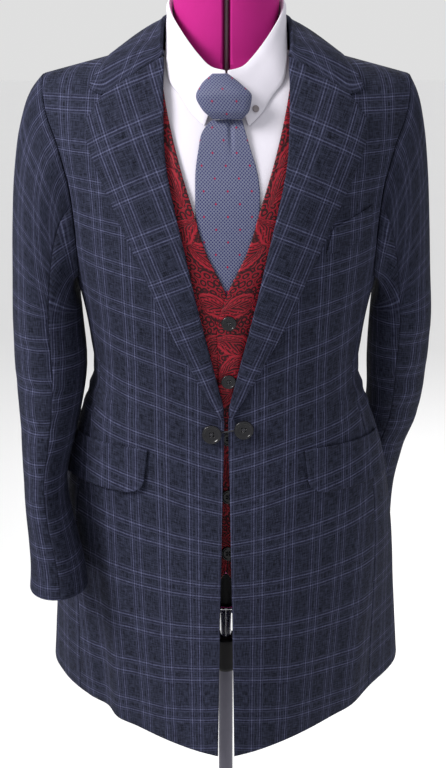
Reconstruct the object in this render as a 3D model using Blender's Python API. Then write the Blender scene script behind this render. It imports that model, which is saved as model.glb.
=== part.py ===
"""Saddle seat day suit on a limbless dress form: coat, vest, shirt and tie, with the form and its stand.

Metres, +Z up. The form's axis is x = y = 0, the front faces -Y and the wearer's left is +X.
The cloth is laid on one master surface, a stack of plan curves, and each piece is a wall between
two offsets of that surface.
"""

import math
from dataclasses import dataclass

import bmesh
import bpy
import numpy as np
from mathutils import Vector

# Driving dimensions
SEAM_GAP = 0.0003
COAT_WALL = 0.0020
VEST_WALL = 0.0012
SHIRT_WALL = 0.0010
TIE_WALL = 0.0018
FLAP_WALL = 0.0020
LAYER_GAP = 0.0004
SHOULDER_TIP_X = 0.204
SHOULDER_TIP_Z = 1.405
SHOULDER_SLOPE = 0.26
SHOULDER_ROUND = 0.110
SHOULDER_POWER = 2.2
SHOULDER_SNAP = 0.00003
HEM_Z = 0.630
BUTTON_Z = 1.022
ARMPIT_Z = 1.185
VEST_LAP_X = -0.0095
CENTRE_EDGE = 0.0018
HEM_EDGE = 0.0095

# The master surface: height, half width, height of the widest line in y, depth in front of and
# behind it, and the power of the plan curve in front (2 is an ellipse, less is more pointed).
SECTIONS = {
    "z": (0.60, 0.63, 0.70, 0.76, 0.83, 0.88, 0.93, 0.98, 1.02, 1.07, 1.13, 1.18, 1.23,
          1.275, 1.32, 1.355, 1.39, 1.44, 1.48),
    "half_width": (0.240, 0.237, 0.229, 0.222, 0.215, 0.208, 0.199, 0.187, 0.1725, 0.158, 0.164,
                   0.175, 0.185, 0.190, 0.204, 0.214, 0.222, 0.224, 0.224),
    "widest_y": (0.092, 0.085, 0.070, 0.058, 0.044, 0.034, 0.022, 0.012, 0.005, 0.0, 0.0,
                 0.0, 0.0, 0.0, 0.0, 0.0, 0.0, 0.0, 0.0),
    "front_y": (0.169, 0.166, 0.158, 0.150, 0.141, 0.135, 0.129, 0.124, 0.121, 0.124, 0.133,
                0.139, 0.140, 0.137, 0.126, 0.1135, 0.102, 0.100, 0.098),
    "back_y": (0.198, 0.192, 0.178, 0.166, 0.153, 0.144, 0.131, 0.114, 0.101, 0.094, 0.104,
               0.114, 0.120, 0.121, 0.117, 0.110, 0.102, 0.090, 0.086),
    "front_power": (1.36, 1.38, 1.45, 1.55, 1.66, 1.74, 1.85, 2.0, 2.15, 2.2, 2.2,
                    2.2, 2.2, 2.2, 2.2, 2.2, 2.2, 2.2, 2.2),
}
BACK_POWER = 2.1

# How far the vest, the shirt and the form lie inside the coat's outer surface.
INNER_LAYERS = {
    "z": (0.78, 0.85, 0.95, 1.03, 1.10, 1.20, 1.48),
    "vest": (-0.030, -0.024, -0.0140, -0.0090, -0.0052, -0.0044, -0.0044),
    "shirt": (-0.036, -0.030, -0.0200, -0.0140, -0.0096, -0.0090, -0.0090),
}

# Lapel rows, from the gorge down to the button: the roll line, the lapel's edge and the row's
# outer end, which is the armhole above the armpit and the side seam below it.
LAPEL_ROWS = {
    "roll_x": (0.0688, 0.0684, 0.0676, 0.0655, 0.0565, 0.0455, 0.0355, 0.0240, 0.0130, 0.0030),
    "roll_z": (1.4226, 1.3950, 1.3534, 1.3187, 1.2712, 1.2239, 1.1783, 1.1308, 1.0850, 1.0420),
    "edge_x": (0.1510, 0.1490, 0.1420, 0.1290, 0.1140, 0.0895, 0.0670, 0.0440, 0.0240, 0.0075),
    "edge_z": (1.3600, 1.3400, 1.3190, 1.2900, 1.2560, 1.2030, 1.1500, 1.1050, 1.0660, 1.0340),
    "side_x": (0.1855, 0.1790, 0.1735, 0.1700, 0.1675, 0.0, 0.0, 0.0, 0.0, 0.0),
    "side_z": (1.3330, 1.3120, 1.2900, 1.2650, 1.2300, ARMPIT_Z, 1.1500, 1.1080, 1.0680, 1.0320),
}
NOTCH = (0.1300, 1.3847)

# The side seams, as shares of the half girth from the centre front.
SEAMS = {
    "z": (0.63, 0.85, 1.07, 1.185),
    "front_side": (0.385, 0.392, 0.400, 0.415),
    "side_back": (0.660, 0.655, 0.640, 0.600),
}

# The collar, from its front end at the gorge round to the centre back: the foot of its stand, the
# crest of its roll, and the edge of its fall, where it lies over the shoulder's rounding.
COLLAR_ROWS = {
    "foot": ((0.0655, -0.0560, 1.4225), (0.0680, -0.0480, 1.4320), (0.0682, -0.0380, 1.4350),
             (0.0684, -0.0200, 1.4392), (0.0680, 0.0, 1.4412), (0.0650, 0.0170, 1.4412),
             (0.0570, 0.0330, 1.4400), (0.0330, 0.0530, 1.4385), (0.0, 0.0610, 1.4365)),
    "crest": ((0.0, 0.0, 0.0), (0.0712, -0.0490, 1.4385), (0.0712, -0.0385, 1.4460),
              (0.0714, -0.0205, 1.4560), (0.0705, 0.0, 1.4640), (0.0665, 0.0175, 1.4675),
              (0.0575, 0.0335, 1.4695), (0.0330, 0.0540, 1.4710), (0.0, 0.0625, 1.4720)),
    "edge": ((0.1480, -0.0580), (0.1415, -0.0480), (0.1340, -0.0360), (0.1265, -0.0200),
             (0.1170, 0.0), (0.1080, 0.0220), (0.0930, 0.0430), (0.0560, 0.0620), (0.0, 0.0715)),
}
COLLAR_CREST = 0.0026
COLLAR_CURL = ((0.0044, -0.0012), (0.0040, -0.0002), (0.0030, 0.0006), (0.0014, 0.0008))
SHIRT_CREST = 0.0017

# Sleeves: centre, half width and half depth of each ring, from the upper arm to the cuff. The
# wearer's right hangs in front of the skirt and the left goes behind the hip.
RIGHT_SLEEVE = {
    "z": (1.200, 1.130, 1.070, 1.020, 0.980, 0.940, 0.905, 0.870, 0.840, 0.815),
    "x": (0.2110, 0.2095, 0.2070, 0.2085, 0.2120, 0.2150, 0.2120, 0.2060, 0.2015, 0.2000),
    "y": (-0.004, -0.014, -0.022, -0.034, -0.044, -0.054, -0.062, -0.070, -0.077, -0.084),
    "half_width": (0.0365, 0.0405, 0.0420, 0.0360, 0.0300, 0.0250, 0.0260, 0.0290, 0.0320, 0.0345),
    "half_depth": (0.0640, 0.0600, 0.0560, 0.0530, 0.0520, 0.0510, 0.0490, 0.0470, 0.0450, 0.0430),
}
LEFT_SLEEVE = {
    "z": (1.200, 1.130, 1.070, 1.020, 0.980, 0.940, 0.905, 0.870, 0.840, 0.800),
    "x": (0.2060, 0.2080, 0.2090, 0.2110, 0.2100, 0.2030, 0.1990, 0.1960, 0.1950, 0.1950),
    "y": (0.002, 0.008, 0.026, 0.048, 0.072, 0.096, 0.117, 0.134, 0.146, 0.158),
    "half_width": (0.0350, 0.0360, 0.0365, 0.0345, 0.0340, 0.0330, 0.0330, 0.0330, 0.0335, 0.0345),
    "half_depth": (0.0600, 0.0540, 0.0480, 0.0420, 0.0390, 0.0390, 0.0400, 0.0400, 0.0400, 0.0400),
}

# The dress form: rings of half width and depth in front and behind, bottom to neck.
FORM_RINGS = {
    "z": (0.815, 0.822, 0.860, 0.920, 1.000, 1.070, 1.130, 1.190, 1.250, 1.300, 1.350,
          1.380, 1.397, 1.409, 1.421, 1.434, 1.483, 1.545, 1.553),
    "half_width": (0.110, 0.120, 0.138, 0.146, 0.142, 0.139, 0.1445, 0.155, 0.162, 0.167, 0.166,
                   0.158, 0.128, 0.091, 0.066, 0.0588, 0.0585, 0.0560, 0.050),
    "front": (0.056, 0.064, 0.078, 0.090, 0.097, 0.1050, 0.1175, 0.125, 0.1265, 0.117, 0.095,
              0.070, 0.053, 0.046, 0.045, 0.046, 0.0480, 0.0470, 0.042),
    "back": (0.068, 0.078, 0.098, 0.098, 0.082, 0.076, 0.0850, 0.096, 0.102, 0.099, 0.085,
             0.066, 0.051, 0.044, 0.042, 0.043, 0.0450, 0.0450, 0.040),
}
NECK_SLIT_WIDTH = 0.0085
NECK_SLIT_DEPTH = 0.016
NECK_SLIT_Z = 1.385

# The stand
BASE_RADIUS = 0.150
BASE_HEIGHT = 0.016
LOWER_TUBE_RADIUS = 0.0092
LOWER_BORE_RADIUS = 0.0078
UPPER_TUBE_RADIUS = 0.0070
CLAMP_RADIUS = 0.0150
CLAMP_LOW = 0.654
CLAMP_HIGH = 0.700
HUB_RADIUS = 0.022
HUB_LOW = 0.746
UPPER_TUBE_LOW = 0.400


def table(rows, column, at):
    """Reads a column of a table at a height, with a smooth curve that doesn't overshoot."""
    xs, ys = np.array(rows["z"]), np.array(rows[column], dtype=float)
    if xs[0] > xs[-1]:
        xs, ys = xs[::-1], ys[::-1]
    steps = np.diff(ys) / np.diff(xs)
    slopes = np.zeros_like(ys)
    slopes[0], slopes[-1] = steps[0], steps[-1]
    same = steps[:-1] * steps[1:] > 0
    slopes[1:-1][same] = 2 * (steps[:-1] * steps[1:])[same] / (steps[:-1] + steps[1:])[same]
    at = float(np.clip(at, xs[0], xs[-1]))
    i = int(np.clip(np.searchsorted(xs, at) - 1, 0, len(xs) - 2))
    span = xs[i + 1] - xs[i]
    t = (at - xs[i]) / span
    return (
        ys[i] * (1 + 2 * t) * (1 - t) ** 2
        + ys[i + 1] * t * t * (3 - 2 * t)
        + slopes[i] * span * t * (1 - t) ** 2
        - slopes[i + 1] * span * t * t * (1 - t)
    )


def lerp(a, b, t):
    """The value a share t of the way from a to b."""
    return a + (b - a) * t


def smooth(t):
    """A soft step from 0 to 1."""
    t = min(1.0, max(0.0, t))
    return t * t * (3 - 2 * t)


def shoulder_z(x):
    """The height of the shoulder line above x."""
    return SHOULDER_TIP_Z + (SHOULDER_TIP_X - abs(x)) * SHOULDER_SLOPE


class Body:
    """The master surface of the coat, on the wearer's left side, where x is 0 or more.

    A place on it is (u, z): u is 0 at the centre front, 0.5 at the widest line and 1 at the
    centre back.
    """

    samples = np.linspace(0.0, 1.0, 161)

    def __init__(self):
        self.known = {}

    def section(self, z):
        key = round(z, 5)
        if key not in self.known:
            row = {name: table(SECTIONS, name, z) for name in SECTIONS if name != "z"}
            points = np.array([self.plan(row, u, z)[:2] for u in self.samples])
            lengths = np.hypot(*np.diff(points, axis=0).T)
            row["arc"] = np.concatenate(([0.0], np.cumsum(lengths)))
            row["front_x"] = points[:81, 0]
            row["back_x"] = points[80:, 0]
            self.known[key] = row
        return self.known[key]

    def plan(self, row, u, z):
        """A point of the plan curve, rounded over towards the shoulder line."""
        front = u <= 0.5
        angle = math.pi * u
        power = row["front_power"] if front else BACK_POWER
        x = row["half_width"] * max(0.0, math.sin(angle)) ** (2 / power)
        along = abs(math.cos(angle)) ** (2 / power)
        below = shoulder_z(x) - z
        if below < SHOULDER_SNAP:
            return x, row["widest_y"] + (-SEAM_GAP if front else SEAM_GAP) / 2, z
        drop = min(1.0, below / SHOULDER_ROUND)
        round_over = (1 - (1 - drop) ** SHOULDER_POWER) ** (1 / SHOULDER_POWER)
        if front:
            depth = row["front_y"] * round_over + row["widest_y"]
            return x, row["widest_y"] - depth * along, z
        depth = row["back_y"] * round_over - row["widest_y"]
        return x, row["widest_y"] + depth * along, z

    def at(self, u, z):
        side = -1 if u < 0 or u > 1 else 1
        x, y, z = self.plan(self.section(z), 1 - abs(1 - abs(u)), z)
        return Vector((side * x, y, z))

    def u_of_x(self, x, z, behind=False):
        row = self.section(z)
        if behind:
            return float(np.interp(-x, -row["back_x"], self.samples[80:]))
        return math.copysign(float(np.interp(abs(x), row["front_x"], self.samples[:81])), x)

    def arc_of_u(self, u, z):
        return math.copysign(float(np.interp(abs(u), self.samples, self.section(z)["arc"])), u)

    def u_of_arc(self, arc, z):
        return math.copysign(float(np.interp(abs(arc), self.section(z)["arc"], self.samples)), arc)

    def u_of_share(self, share, z):
        return self.u_of_arc(share * self.section(z)["arc"][-1], z)

    def normal(self, u, z):
        """The outward normal, level in x at the two centres and up along the shoulder line."""
        if u < 0:
            mirrored = self.normal(-u, z)
            return Vector((-mirrored.x, mirrored.y, mirrored.z))
        here = self.at(u, z)
        step_u, step_z = 0.006, 0.0015
        low, high = u - step_u, u + step_u
        room = shoulder_z(here.x) - z
        top = z + step_z if room > 2 * step_z else z - step_z * 0.2
        across = self.at(high, z) - self.at(low, z)
        up = self.at(u, top) - self.at(u, top - 2 * step_z)
        normal = across.cross(up)
        if normal.length < 1e-12:
            normal = Vector((0.0, -1.0 if u < 0.5 else 1.0, 0.0))
        normal.normalize()
        if abs(here.x) < 0.004:
            normal.x = 0.0
        tilt = Vector((SHOULDER_SLOPE, 0.0, 1.0)).normalized()
        share = smooth(1 - room / 0.006)
        return (normal * (1 - share) + tilt * share).normalized()

    def point(self, u, z, off=0.0):
        """A place on the surface, moved out along its normal."""
        return self.at(u, z) + self.normal(u, z) * off


BODY = Body()


def front_place(x, z):
    """(u, z) of a place on the front, given by its x."""
    return BODY.u_of_x(x, z), z


def back_place(x, z):
    """(u, z) of a place on the back, given by its x."""
    return BODY.u_of_x(x, z, behind=True), z


def seam_place(seam, z, gap=0.0):
    """(u, z) of a place on a side seam, moved along the girth by a gap."""
    row = BODY.section(z)
    share = table(SEAMS, seam, z)
    return BODY.u_of_arc(share * row["arc"][-1] + gap, z), z


def row_between(start, end, count):
    """Places from one to another, evenly spaced along the girth."""
    (u0, z0), (u1, z1) = start, end
    arc0, arc1 = BODY.arc_of_u(u0, z0), BODY.arc_of_u(u1, z1)
    places = []
    for i in range(count + 1):
        t = i / count
        z = lerp(z0, z1, t)
        places.append((BODY.u_of_arc(lerp(arc0, arc1, t), z), z))
    places[0], places[-1] = start, end
    return places


def lay(places, off, side=1):
    """Points of a grid of places at an offset, on the wearer's left (1) or right (-1)."""
    rows = []
    for i, row in enumerate(places):
        line = []
        for j, (u, z) in enumerate(row):
            value = off(i, j, u, z) if callable(off) else off
            point = BODY.point(u, z, value)
            line.append(Vector((point.x * side, point.y, point.z)))
        rows.append(line)
    return rows


@dataclass
class Finish:
    """A plain colour for one kind of material."""

    colour: tuple
    roughness: float
    metallic: float = 0.0


FINISHES = {
    "coat_wool": Finish((0.045, 0.050, 0.080), 0.85),
    "vest_brocade": Finish((0.250, 0.010, 0.020), 0.55),
    "shirt_cotton": Finish((0.80, 0.80, 0.84), 0.75),
    "tie_silk": Finish((0.16, 0.19, 0.28), 0.6),
    "horn_button": Finish((0.012, 0.012, 0.015), 0.25),
    "thread": Finish((0.02, 0.02, 0.03), 0.8),
    "form_jersey": Finish((0.50, 0.02, 0.20), 0.85),
    "grey_plastic": Finish((0.10, 0.09, 0.10), 0.5),
    "black_plastic": Finish((0.010, 0.010, 0.012), 0.4),
    "black_metal": Finish((0.012, 0.012, 0.014), 0.35, 0.5),
    "steel_tube": Finish((0.55, 0.55, 0.58), 0.25, 1.0),
    "grey_tube": Finish((0.22, 0.21, 0.24), 0.4, 0.8),
}


def material(name):
    """The named material, made once."""
    found = bpy.data.materials.get(name)
    if found:
        return found
    finish = FINISHES[name]
    made = bpy.data.materials.new(name)
    made.use_nodes = True
    shader = made.node_tree.nodes["Principled BSDF"]
    shader.inputs["Base Color"].default_value = (*finish.colour, 1.0)
    shader.inputs["Roughness"].default_value = finish.roughness
    shader.inputs["Metallic"].default_value = finish.metallic
    return made


def add_object(name, bm, material_name, group):
    """Turns a bmesh into a named object with its faces out."""
    bmesh.ops.triangulate(bm, faces=bm.faces, quad_method="FIXED")
    bmesh.ops.recalc_face_normals(bm, faces=bm.faces)
    if bm.calc_volume(signed=True) < 0:
        bmesh.ops.reverse_faces(bm, faces=bm.faces)
    mesh = bpy.data.meshes.new(name)
    bm.to_mesh(mesh)
    bm.free()
    mesh.materials.append(material(material_name))
    obj = bpy.data.objects.new(name, mesh)
    group.objects.link(obj)
    return obj


def add_wall(name, outer, inner, material_name, group, closed=False):
    """A closed wall lofted between an outer and an inner grid of points.

    Closed grids are tubes: their last column joins their first.
    """
    bm = bmesh.new()
    out_verts = [[bm.verts.new(p) for p in row] for row in outer]
    in_verts = [[bm.verts.new(p) for p in row] for row in inner]
    rows, cols = len(outer), len(outer[0])
    spans = cols if closed else cols - 1
    for i in range(rows - 1):
        for j in range(spans):
            k = (j + 1) % cols
            bm.faces.new((out_verts[i][j], out_verts[i][k], out_verts[i + 1][k], out_verts[i + 1][j]))
            bm.faces.new((in_verts[i][j], in_verts[i + 1][j], in_verts[i + 1][k], in_verts[i][k]))
    for i in (0, rows - 1):
        for j in range(spans):
            k = (j + 1) % cols
            bm.faces.new((out_verts[i][j], in_verts[i][j], in_verts[i][k], out_verts[i][k]))
    if not closed:
        for j in (0, cols - 1):
            for i in range(rows - 1):
                bm.faces.new((out_verts[i][j], out_verts[i + 1][j], in_verts[i + 1][j], in_verts[i][j]))
    bmesh.ops.remove_doubles(bm, verts=bm.verts, dist=1e-6)
    bmesh.ops.dissolve_degenerate(bm, edges=bm.edges, dist=1e-6)
    return add_object(name, bm, material_name, group)


def add_turned(name, profile, material_name, group, steps=24, place=(0.0, 0.0, 0.0)):
    """A turned piece from a profile of (radius, height); one that starts off the axis is a ring."""
    bm = bmesh.new()
    rings = []
    for radius, z in profile:
        if radius < 1e-9:
            rings.append([bm.verts.new((0.0, 0.0, z))])
            continue
        turns = [2 * math.pi * k / steps for k in range(steps)]
        rings.append([bm.verts.new((radius * math.cos(t), radius * math.sin(t), z)) for t in turns])
    following = rings[1:] + ([rings[0]] if profile[0][0] > 0 else [])
    for high, low in zip(rings, following):
        for k in range(steps):
            n = (k + 1) % steps
            corners = (high[k % len(high)], high[n % len(high)], low[n % len(low)], low[k % len(low)])
            bm.faces.new(list(dict.fromkeys(corners)))
    obj = add_object(name, bm, material_name, group)
    obj.location = place
    return obj


def button_profile(radius, thickness):
    """A button with a raised rim and a hollow face, from the middle of its face to its back."""
    rim = radius * 0.80
    dish = thickness * 0.62
    return (
        (0.0, dish),
        (radius * 0.55, dish),
        (rim, thickness),
        (radius * 0.94, thickness * 0.9),
        (radius, thickness * 0.45),
        (radius * 0.8, 0.0),
        (0.0, 0.0),
    )


def add_button(name, radius, thickness, centre, normal, material_name, group, steps=12):
    """A button lying on the cloth, its back at the centre given."""
    obj = add_turned(name, button_profile(radius, thickness), material_name, group, steps)
    obj.rotation_mode = "QUATERNION"
    obj.rotation_quaternion = Vector((0, 0, 1)).rotation_difference(normal)
    obj.location = centre
    return obj


def side_name(side):
    """The wearer's side."""
    return "left" if side > 0 else "right"


def lapel_row(index):
    """Roll, edge and side places of a row of the lapel table."""
    roll = front_place(LAPEL_ROWS["roll_x"][index], LAPEL_ROWS["roll_z"][index])
    edge = front_place(LAPEL_ROWS["edge_x"][index], LAPEL_ROWS["edge_z"][index])
    z = LAPEL_ROWS["side_z"][index]
    if z > ARMPIT_Z + 0.001:
        side = front_place(LAPEL_ROWS["side_x"][index], z)
    else:
        side = seam_place("front_side", z, -SEAM_GAP / 2)
    return roll, edge, side


def rows_below_shoulder(top, low, shares, place, bow=0.0):
    """Rows between the shoulder's and a lower one, close together where the surface rounds over."""
    rows = []
    for share in shares:
        line = []
        for j, (high, under) in enumerate(zip(top, low)):
            out = bow * math.sin(math.pi * share) * (j / (len(top) - 1)) ** 2
            x = lerp(BODY.at(*high).x, BODY.at(*under).x, share) + out
            line.append(place(x, lerp(high[1], under[1], share)))
        rows.append(line)
    return rows


def shoulder_row(columns, place):
    """The row along the shoulder seam."""
    xs = [lerp(FRONT_NECK_X, SHOULDER_TIP_X, j / columns) for j in range(columns + 1)]
    return [place(x, shoulder_z(x)) for x in xs]


LAPEL_COLS = 4
OUTER_COLS = 5
FRONT_SHARES = (0.06, 0.26, 0.58)
BACK_SHARES = (0.25,)
COLLAR_LIE_ROWS = len(FRONT_SHARES) + 1
SIDE_COLS = 4
BACK_COLS = 7
FRONT_NECK_X = 0.0735
FAN_DEPTH = 0.190
LEVELS = (ARMPIT_Z, 1.150, 1.108, 1.068, 1.032, 1.005, 0.965, 0.925, 0.885, 0.845, 0.805, 0.765,
          0.725, 0.680, HEM_Z)
SKIRT_LEVELS = LEVELS[5:]

# The back's rows above the armpit: the end at the neckline or the centre back, and at the armhole.
BACK_ROWS = {
    "inner_x": (0.0400, 0.0, 0.0, 0.0, 0.0, 0.0, 0.0),
    "inner_z": (1.4365, 1.4320, 1.4100, 1.3800, 1.3350, 1.2850, 1.2250),
    "outer_x": (0.2010, 0.1968, 0.1920, 0.1840, 0.1765, 0.1735, 0.0),
    "outer_z": (1.3780, 1.3620, 1.3440, 1.3150, 1.2750, 1.2300, ARMPIT_Z),
}


def front_places():
    """The grid of the coat's front, from the shoulder to the hem.

    Its first columns run from the roll line to the lapel's edge and the rest go on to the
    armhole or the side seam.
    """
    columns = LAPEL_COLS + OUTER_COLS
    shoulder = shoulder_row(columns, front_place)
    roll, edge, side = lapel_row(0)
    gorge = row_between(roll, front_place(*NOTCH), LAPEL_COLS - 1) + row_between(edge, side, OUTER_COLS)
    rows = [shoulder] + rows_below_shoulder(shoulder, gorge, FRONT_SHARES, front_place, 0.005) + [gorge]
    for index in range(1, len(LAPEL_ROWS["roll_x"])):
        roll, edge, side = lapel_row(index)
        rows.append(row_between(roll, edge, LAPEL_COLS)[:-1] + row_between(edge, side, OUTER_COLS))
    for z in SKIRT_LEVELS:
        down = max(0.0, BUTTON_Z - z) / (BUTTON_Z - HEM_Z)
        start = front_place(lerp(CENTRE_EDGE, HEM_EDGE, down ** 0.8), z)
        rows.append(spread_row(start, seam_place("front_side", z, -SEAM_GAP / 2), columns))
    return rows


def spread_row(start, end, columns):
    """A row below the button, whose first columns fan out from the lapel's foot to even steps."""
    z = start[1]
    first, last = BODY.arc_of_u(*start), BODY.arc_of_u(*end)
    even = smooth((BUTTON_Z - z) / FAN_DEPTH)
    row = [start]
    for j in range(1, columns):
        if j <= LAPEL_COLS:
            close = first + 0.009 * j / LAPEL_COLS
        else:
            close = lerp(first + 0.009, last, (j - LAPEL_COLS) / OUTER_COLS)
        row.append((BODY.u_of_arc(lerp(close, lerp(first, last, j / columns), even), z), z))
    return row + [end]


def side_places():
    """The grid of the side body, from under the arm to the hem."""
    rows = []
    for z in LEVELS:
        start = seam_place("front_side", z, SEAM_GAP / 2)
        end = seam_place("side_back", z, -SEAM_GAP / 2)
        row = row_between(start, end, SIDE_COLS)
        if z == ARMPIT_Z:
            row = [(u, z - 0.010 * math.sin(math.pi * j / SIDE_COLS)) for j, (u, _) in enumerate(row)]
        rows.append(row)
    return rows


def centre_back(z):
    """The place beside the centre back seam, which opens as the vent below the waist."""
    open_by = 0.004 * smooth((0.99 - z) / 0.36)
    row = BODY.section(z)
    return BODY.u_of_arc(row["arc"][-1] - SEAM_GAP / 2 - open_by, z), z


def back_places():
    """The grid of the coat's back, from the shoulder to the hem, centre back first."""
    shoulder = shoulder_row(BACK_COLS, back_place)
    rows = []
    for index, inner_x in enumerate(BACK_ROWS["inner_x"]):
        inner_z, outer_z = BACK_ROWS["inner_z"][index], BACK_ROWS["outer_z"][index]
        start = back_place(inner_x, inner_z) if inner_x else centre_back(inner_z)
        if BACK_ROWS["outer_x"][index]:
            end = back_place(BACK_ROWS["outer_x"][index], outer_z)
        else:
            end = seam_place("side_back", outer_z, SEAM_GAP / 2)
        rows.append(row_between(start, end, BACK_COLS))
    rows = [shoulder] + rows_below_shoulder(shoulder, rows[0], BACK_SHARES, back_place, 0.002) + rows
    for z in LEVELS[1:]:
        rows.append(row_between(centre_back(z), seam_place("side_back", z, SEAM_GAP / 2), BACK_COLS))
    return rows


def grid_normals(grid, closed, outward):
    """Unit normals of a grid of points, all turned to the side that outward(point) shows."""
    rows, cols = len(grid), len(grid[0])
    normals = []
    for i in range(rows):
        line = []
        for j in range(cols):
            down = grid[min(rows - 1, i + 1)][j] - grid[max(0, i - 1)][j]
            if closed:
                across = grid[i][(j + 1) % cols] - grid[i][(j - 1) % cols]
            else:
                across = grid[i][min(cols - 1, j + 1)] - grid[i][max(0, j - 1)]
            normal = down.cross(across)
            if normal.length < 1e-12:
                normal = outward(i, j)
            normal.normalize()
            if normal.dot(outward(i, j)) < 0:
                normal.negate()
            line.append(normal)
        normals.append(line)
    return normals


def moved(grid, normals, distance):
    """The grid moved along its normals."""
    return [[p + n * distance for p, n in zip(row, line)] for row, line in zip(grid, normals)]


def mirrored(grid):
    """The grid on the other side of the centre plane."""
    return [[Vector((-p.x, p.y, p.z)) for p in row] for row in grid]


def sided(grid, side):
    """The grid on the wearer's left (1) or right (-1)."""
    return grid if side > 0 else mirrored(grid)


def panel(name, places, material_name, group, side, outer=0.0, wall=COAT_WALL):
    """A wall of cloth on the master surface."""
    def inner(i, j, u, z):
        value = outer(i, j, u, z) if callable(outer) else outer
        return value - wall

    return add_wall(name, lay(places, outer, side), lay(places, inner, side), material_name, group)


def coat_body(group):
    """The coat's fronts, side bodies and backs."""
    pieces = {"coat_front": front_places(), "coat_side": side_places(), "coat_back": back_places()}
    for side in (1, -1):
        for name, places in pieces.items():
            panel(f"{name}_{side_name(side)}", places, "coat_wool", group, side)
    return pieces


def lapels(places, group):
    """The turned-back facings, on the fronts' own points."""
    first = COLLAR_LIE_ROWS
    rows = [row[: LAPEL_COLS + 1] for row in places[first : first + len(LAPEL_ROWS["roll_x"])]]
    rows[0] = [(u, z - 0.0005) for u, z in rows[0]]

    def outer(i, j, u, z):
        puff = 0.0022 * math.sin(math.pi * j / LAPEL_COLS) * (1 - 0.6 * i / len(rows))
        return SEAM_GAP + COAT_WALL + puff

    for side in (1, -1):
        panel(f"coat_lapel_{side_name(side)}", rows, "coat_wool", group, side, outer)


COLLAR_COLS = 5
STAND_COLS = 4


def joined_halves(half):
    """A grid across the centre plane: the half, whose last row lies on it, and its mirror."""
    for p in half[-1]:
        p.x = 0.0
    return mirrored(half)[:-1] + half[::-1]


def level_out(point):
    """The level direction away from the neck."""
    return Vector((point.x, point.y, 0.0)).normalized()


def bulged(start, end, count, bulge):
    """Points from one to another along a line that stands out from the neck by a bulge."""
    out = (level_out(start) + Vector((0, 0, 1))).normalized()
    return [start.lerp(end, c / count) + out * bulge * math.sin(math.pi * c / count) for c in range(count + 1)]


def turned_down(foot, crest, edge, radius, count, bulge):
    """A collar's line: up the stand, over the crest and down the fall."""
    out = level_out(crest)
    inside = crest - out * radius - Vector((0, 0, radius))
    outside = crest + out * radius - Vector((0, 0, radius))
    return [foot, foot.lerp(inside, 0.55), inside, crest] + bulged(outside, edge, count, bulge)


def collar_outward(grid):
    """Which way a collar's outer face looks: to the neck on its stand, away and up on its fall."""
    def outward(i, j):
        level = level_out(grid[i][j])
        if j < STAND_COLS - 1:
            return -level
        if j == STAND_COLS - 1:
            return Vector((0, 0, 1))
        return level * 0.8 + Vector((0, 0, 1))

    return outward


def ridge_place(x, y):
    """The place at x on the shoulder's rounding whose depth is y: in front if y is negative."""
    place = back_place if y > 0 else front_place
    low, high = 0.0, 0.09
    for _ in range(30):
        drop = (low + high) / 2
        if abs(BODY.at(*place(x, shoulder_z(x) - drop)).y) < abs(y):
            low = drop
        else:
            high = drop
    return place(x, shoulder_z(x) - (low + high) / 2)


def coat_collar(group):
    """One collar: its stand rises inside the neckline, rolls over and falls onto the shoulders."""
    gorge_start = front_place(LAPEL_ROWS["roll_x"][0], LAPEL_ROWS["roll_z"][0] + SEAM_GAP)
    line = row_between(gorge_start, front_place(NOTCH[0], NOTCH[1] + SEAM_GAP), COLLAR_COLS - 1)
    half = []
    for index, (x, y) in enumerate(COLLAR_ROWS["edge"]):
        edge = BODY.point(*ridge_place(x, y), COAT_WALL + 0.0014)
        if index == 0:
            fall = [BODY.point(u, z, COAT_WALL + 2 * SEAM_GAP) for u, z in line] + [edge]
            out = level_out(fall[0])
            curl = [fall[0] - out * back + Vector((0, 0, up)) for back, up in COLLAR_CURL]
            half.append(curl + fall)
        else:
            foot, crest = (Vector(COLLAR_ROWS[key][index]) for key in ("foot", "crest"))
            half.append(turned_down(foot, crest, edge, COLLAR_CREST, COLLAR_COLS, 0.0030))
    full = joined_halves(half)
    normals = grid_normals(full, False, collar_outward(full))
    return add_wall("coat_collar", full, moved(full, normals, -COAT_WALL), "coat_wool", group)


def armhole(pieces):
    """The armhole's places in order, from the shoulder tip down the front and up the back."""
    front, flank, back = pieces["coat_front"], pieces["coat_side"], pieces["coat_back"]
    down = [row[-1] for row in front[: ARMHOLE_FRONT]]
    up = [row[-1] for row in back[: len(BACK_ROWS["inner_x"]) + 1 + len(BACK_SHARES)]][::-1]
    return down + flank[0][1:-1] + up[:-1]


ARMHOLE_FRONT = COLLAR_LIE_ROWS + 6
CAP_STEPS = (0.14, 0.30, 0.48, 0.68, 0.86)
CAP_END_Z = 1.130


@dataclass
class Cap:
    """How a sleeve's head leaves the shoulder tip (x, z) and how it comes down to the upper arm."""

    leave: tuple
    end: tuple


RIGHT_CAP = Cap((0.0400, -0.0300), (-0.0060, 0.120))
LEFT_CAP = Cap((0.0248, -0.0312), (-0.0100, 0.130))
UNDER_CAP = Cap((0.0095, -0.0030), (0.0, 0.022))


def sleeve_ring_point(rows, z, turn):
    """A point of a sleeve's ring: turn is 0 on the outer side and a quarter turn in front."""
    width, depth = table(rows, "half_width", z), table(rows, "half_depth", z)
    x = table(rows, "x", z) + width * math.cos(turn)
    return Vector((x, table(rows, "y", z) - depth * math.sin(turn), z))


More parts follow.
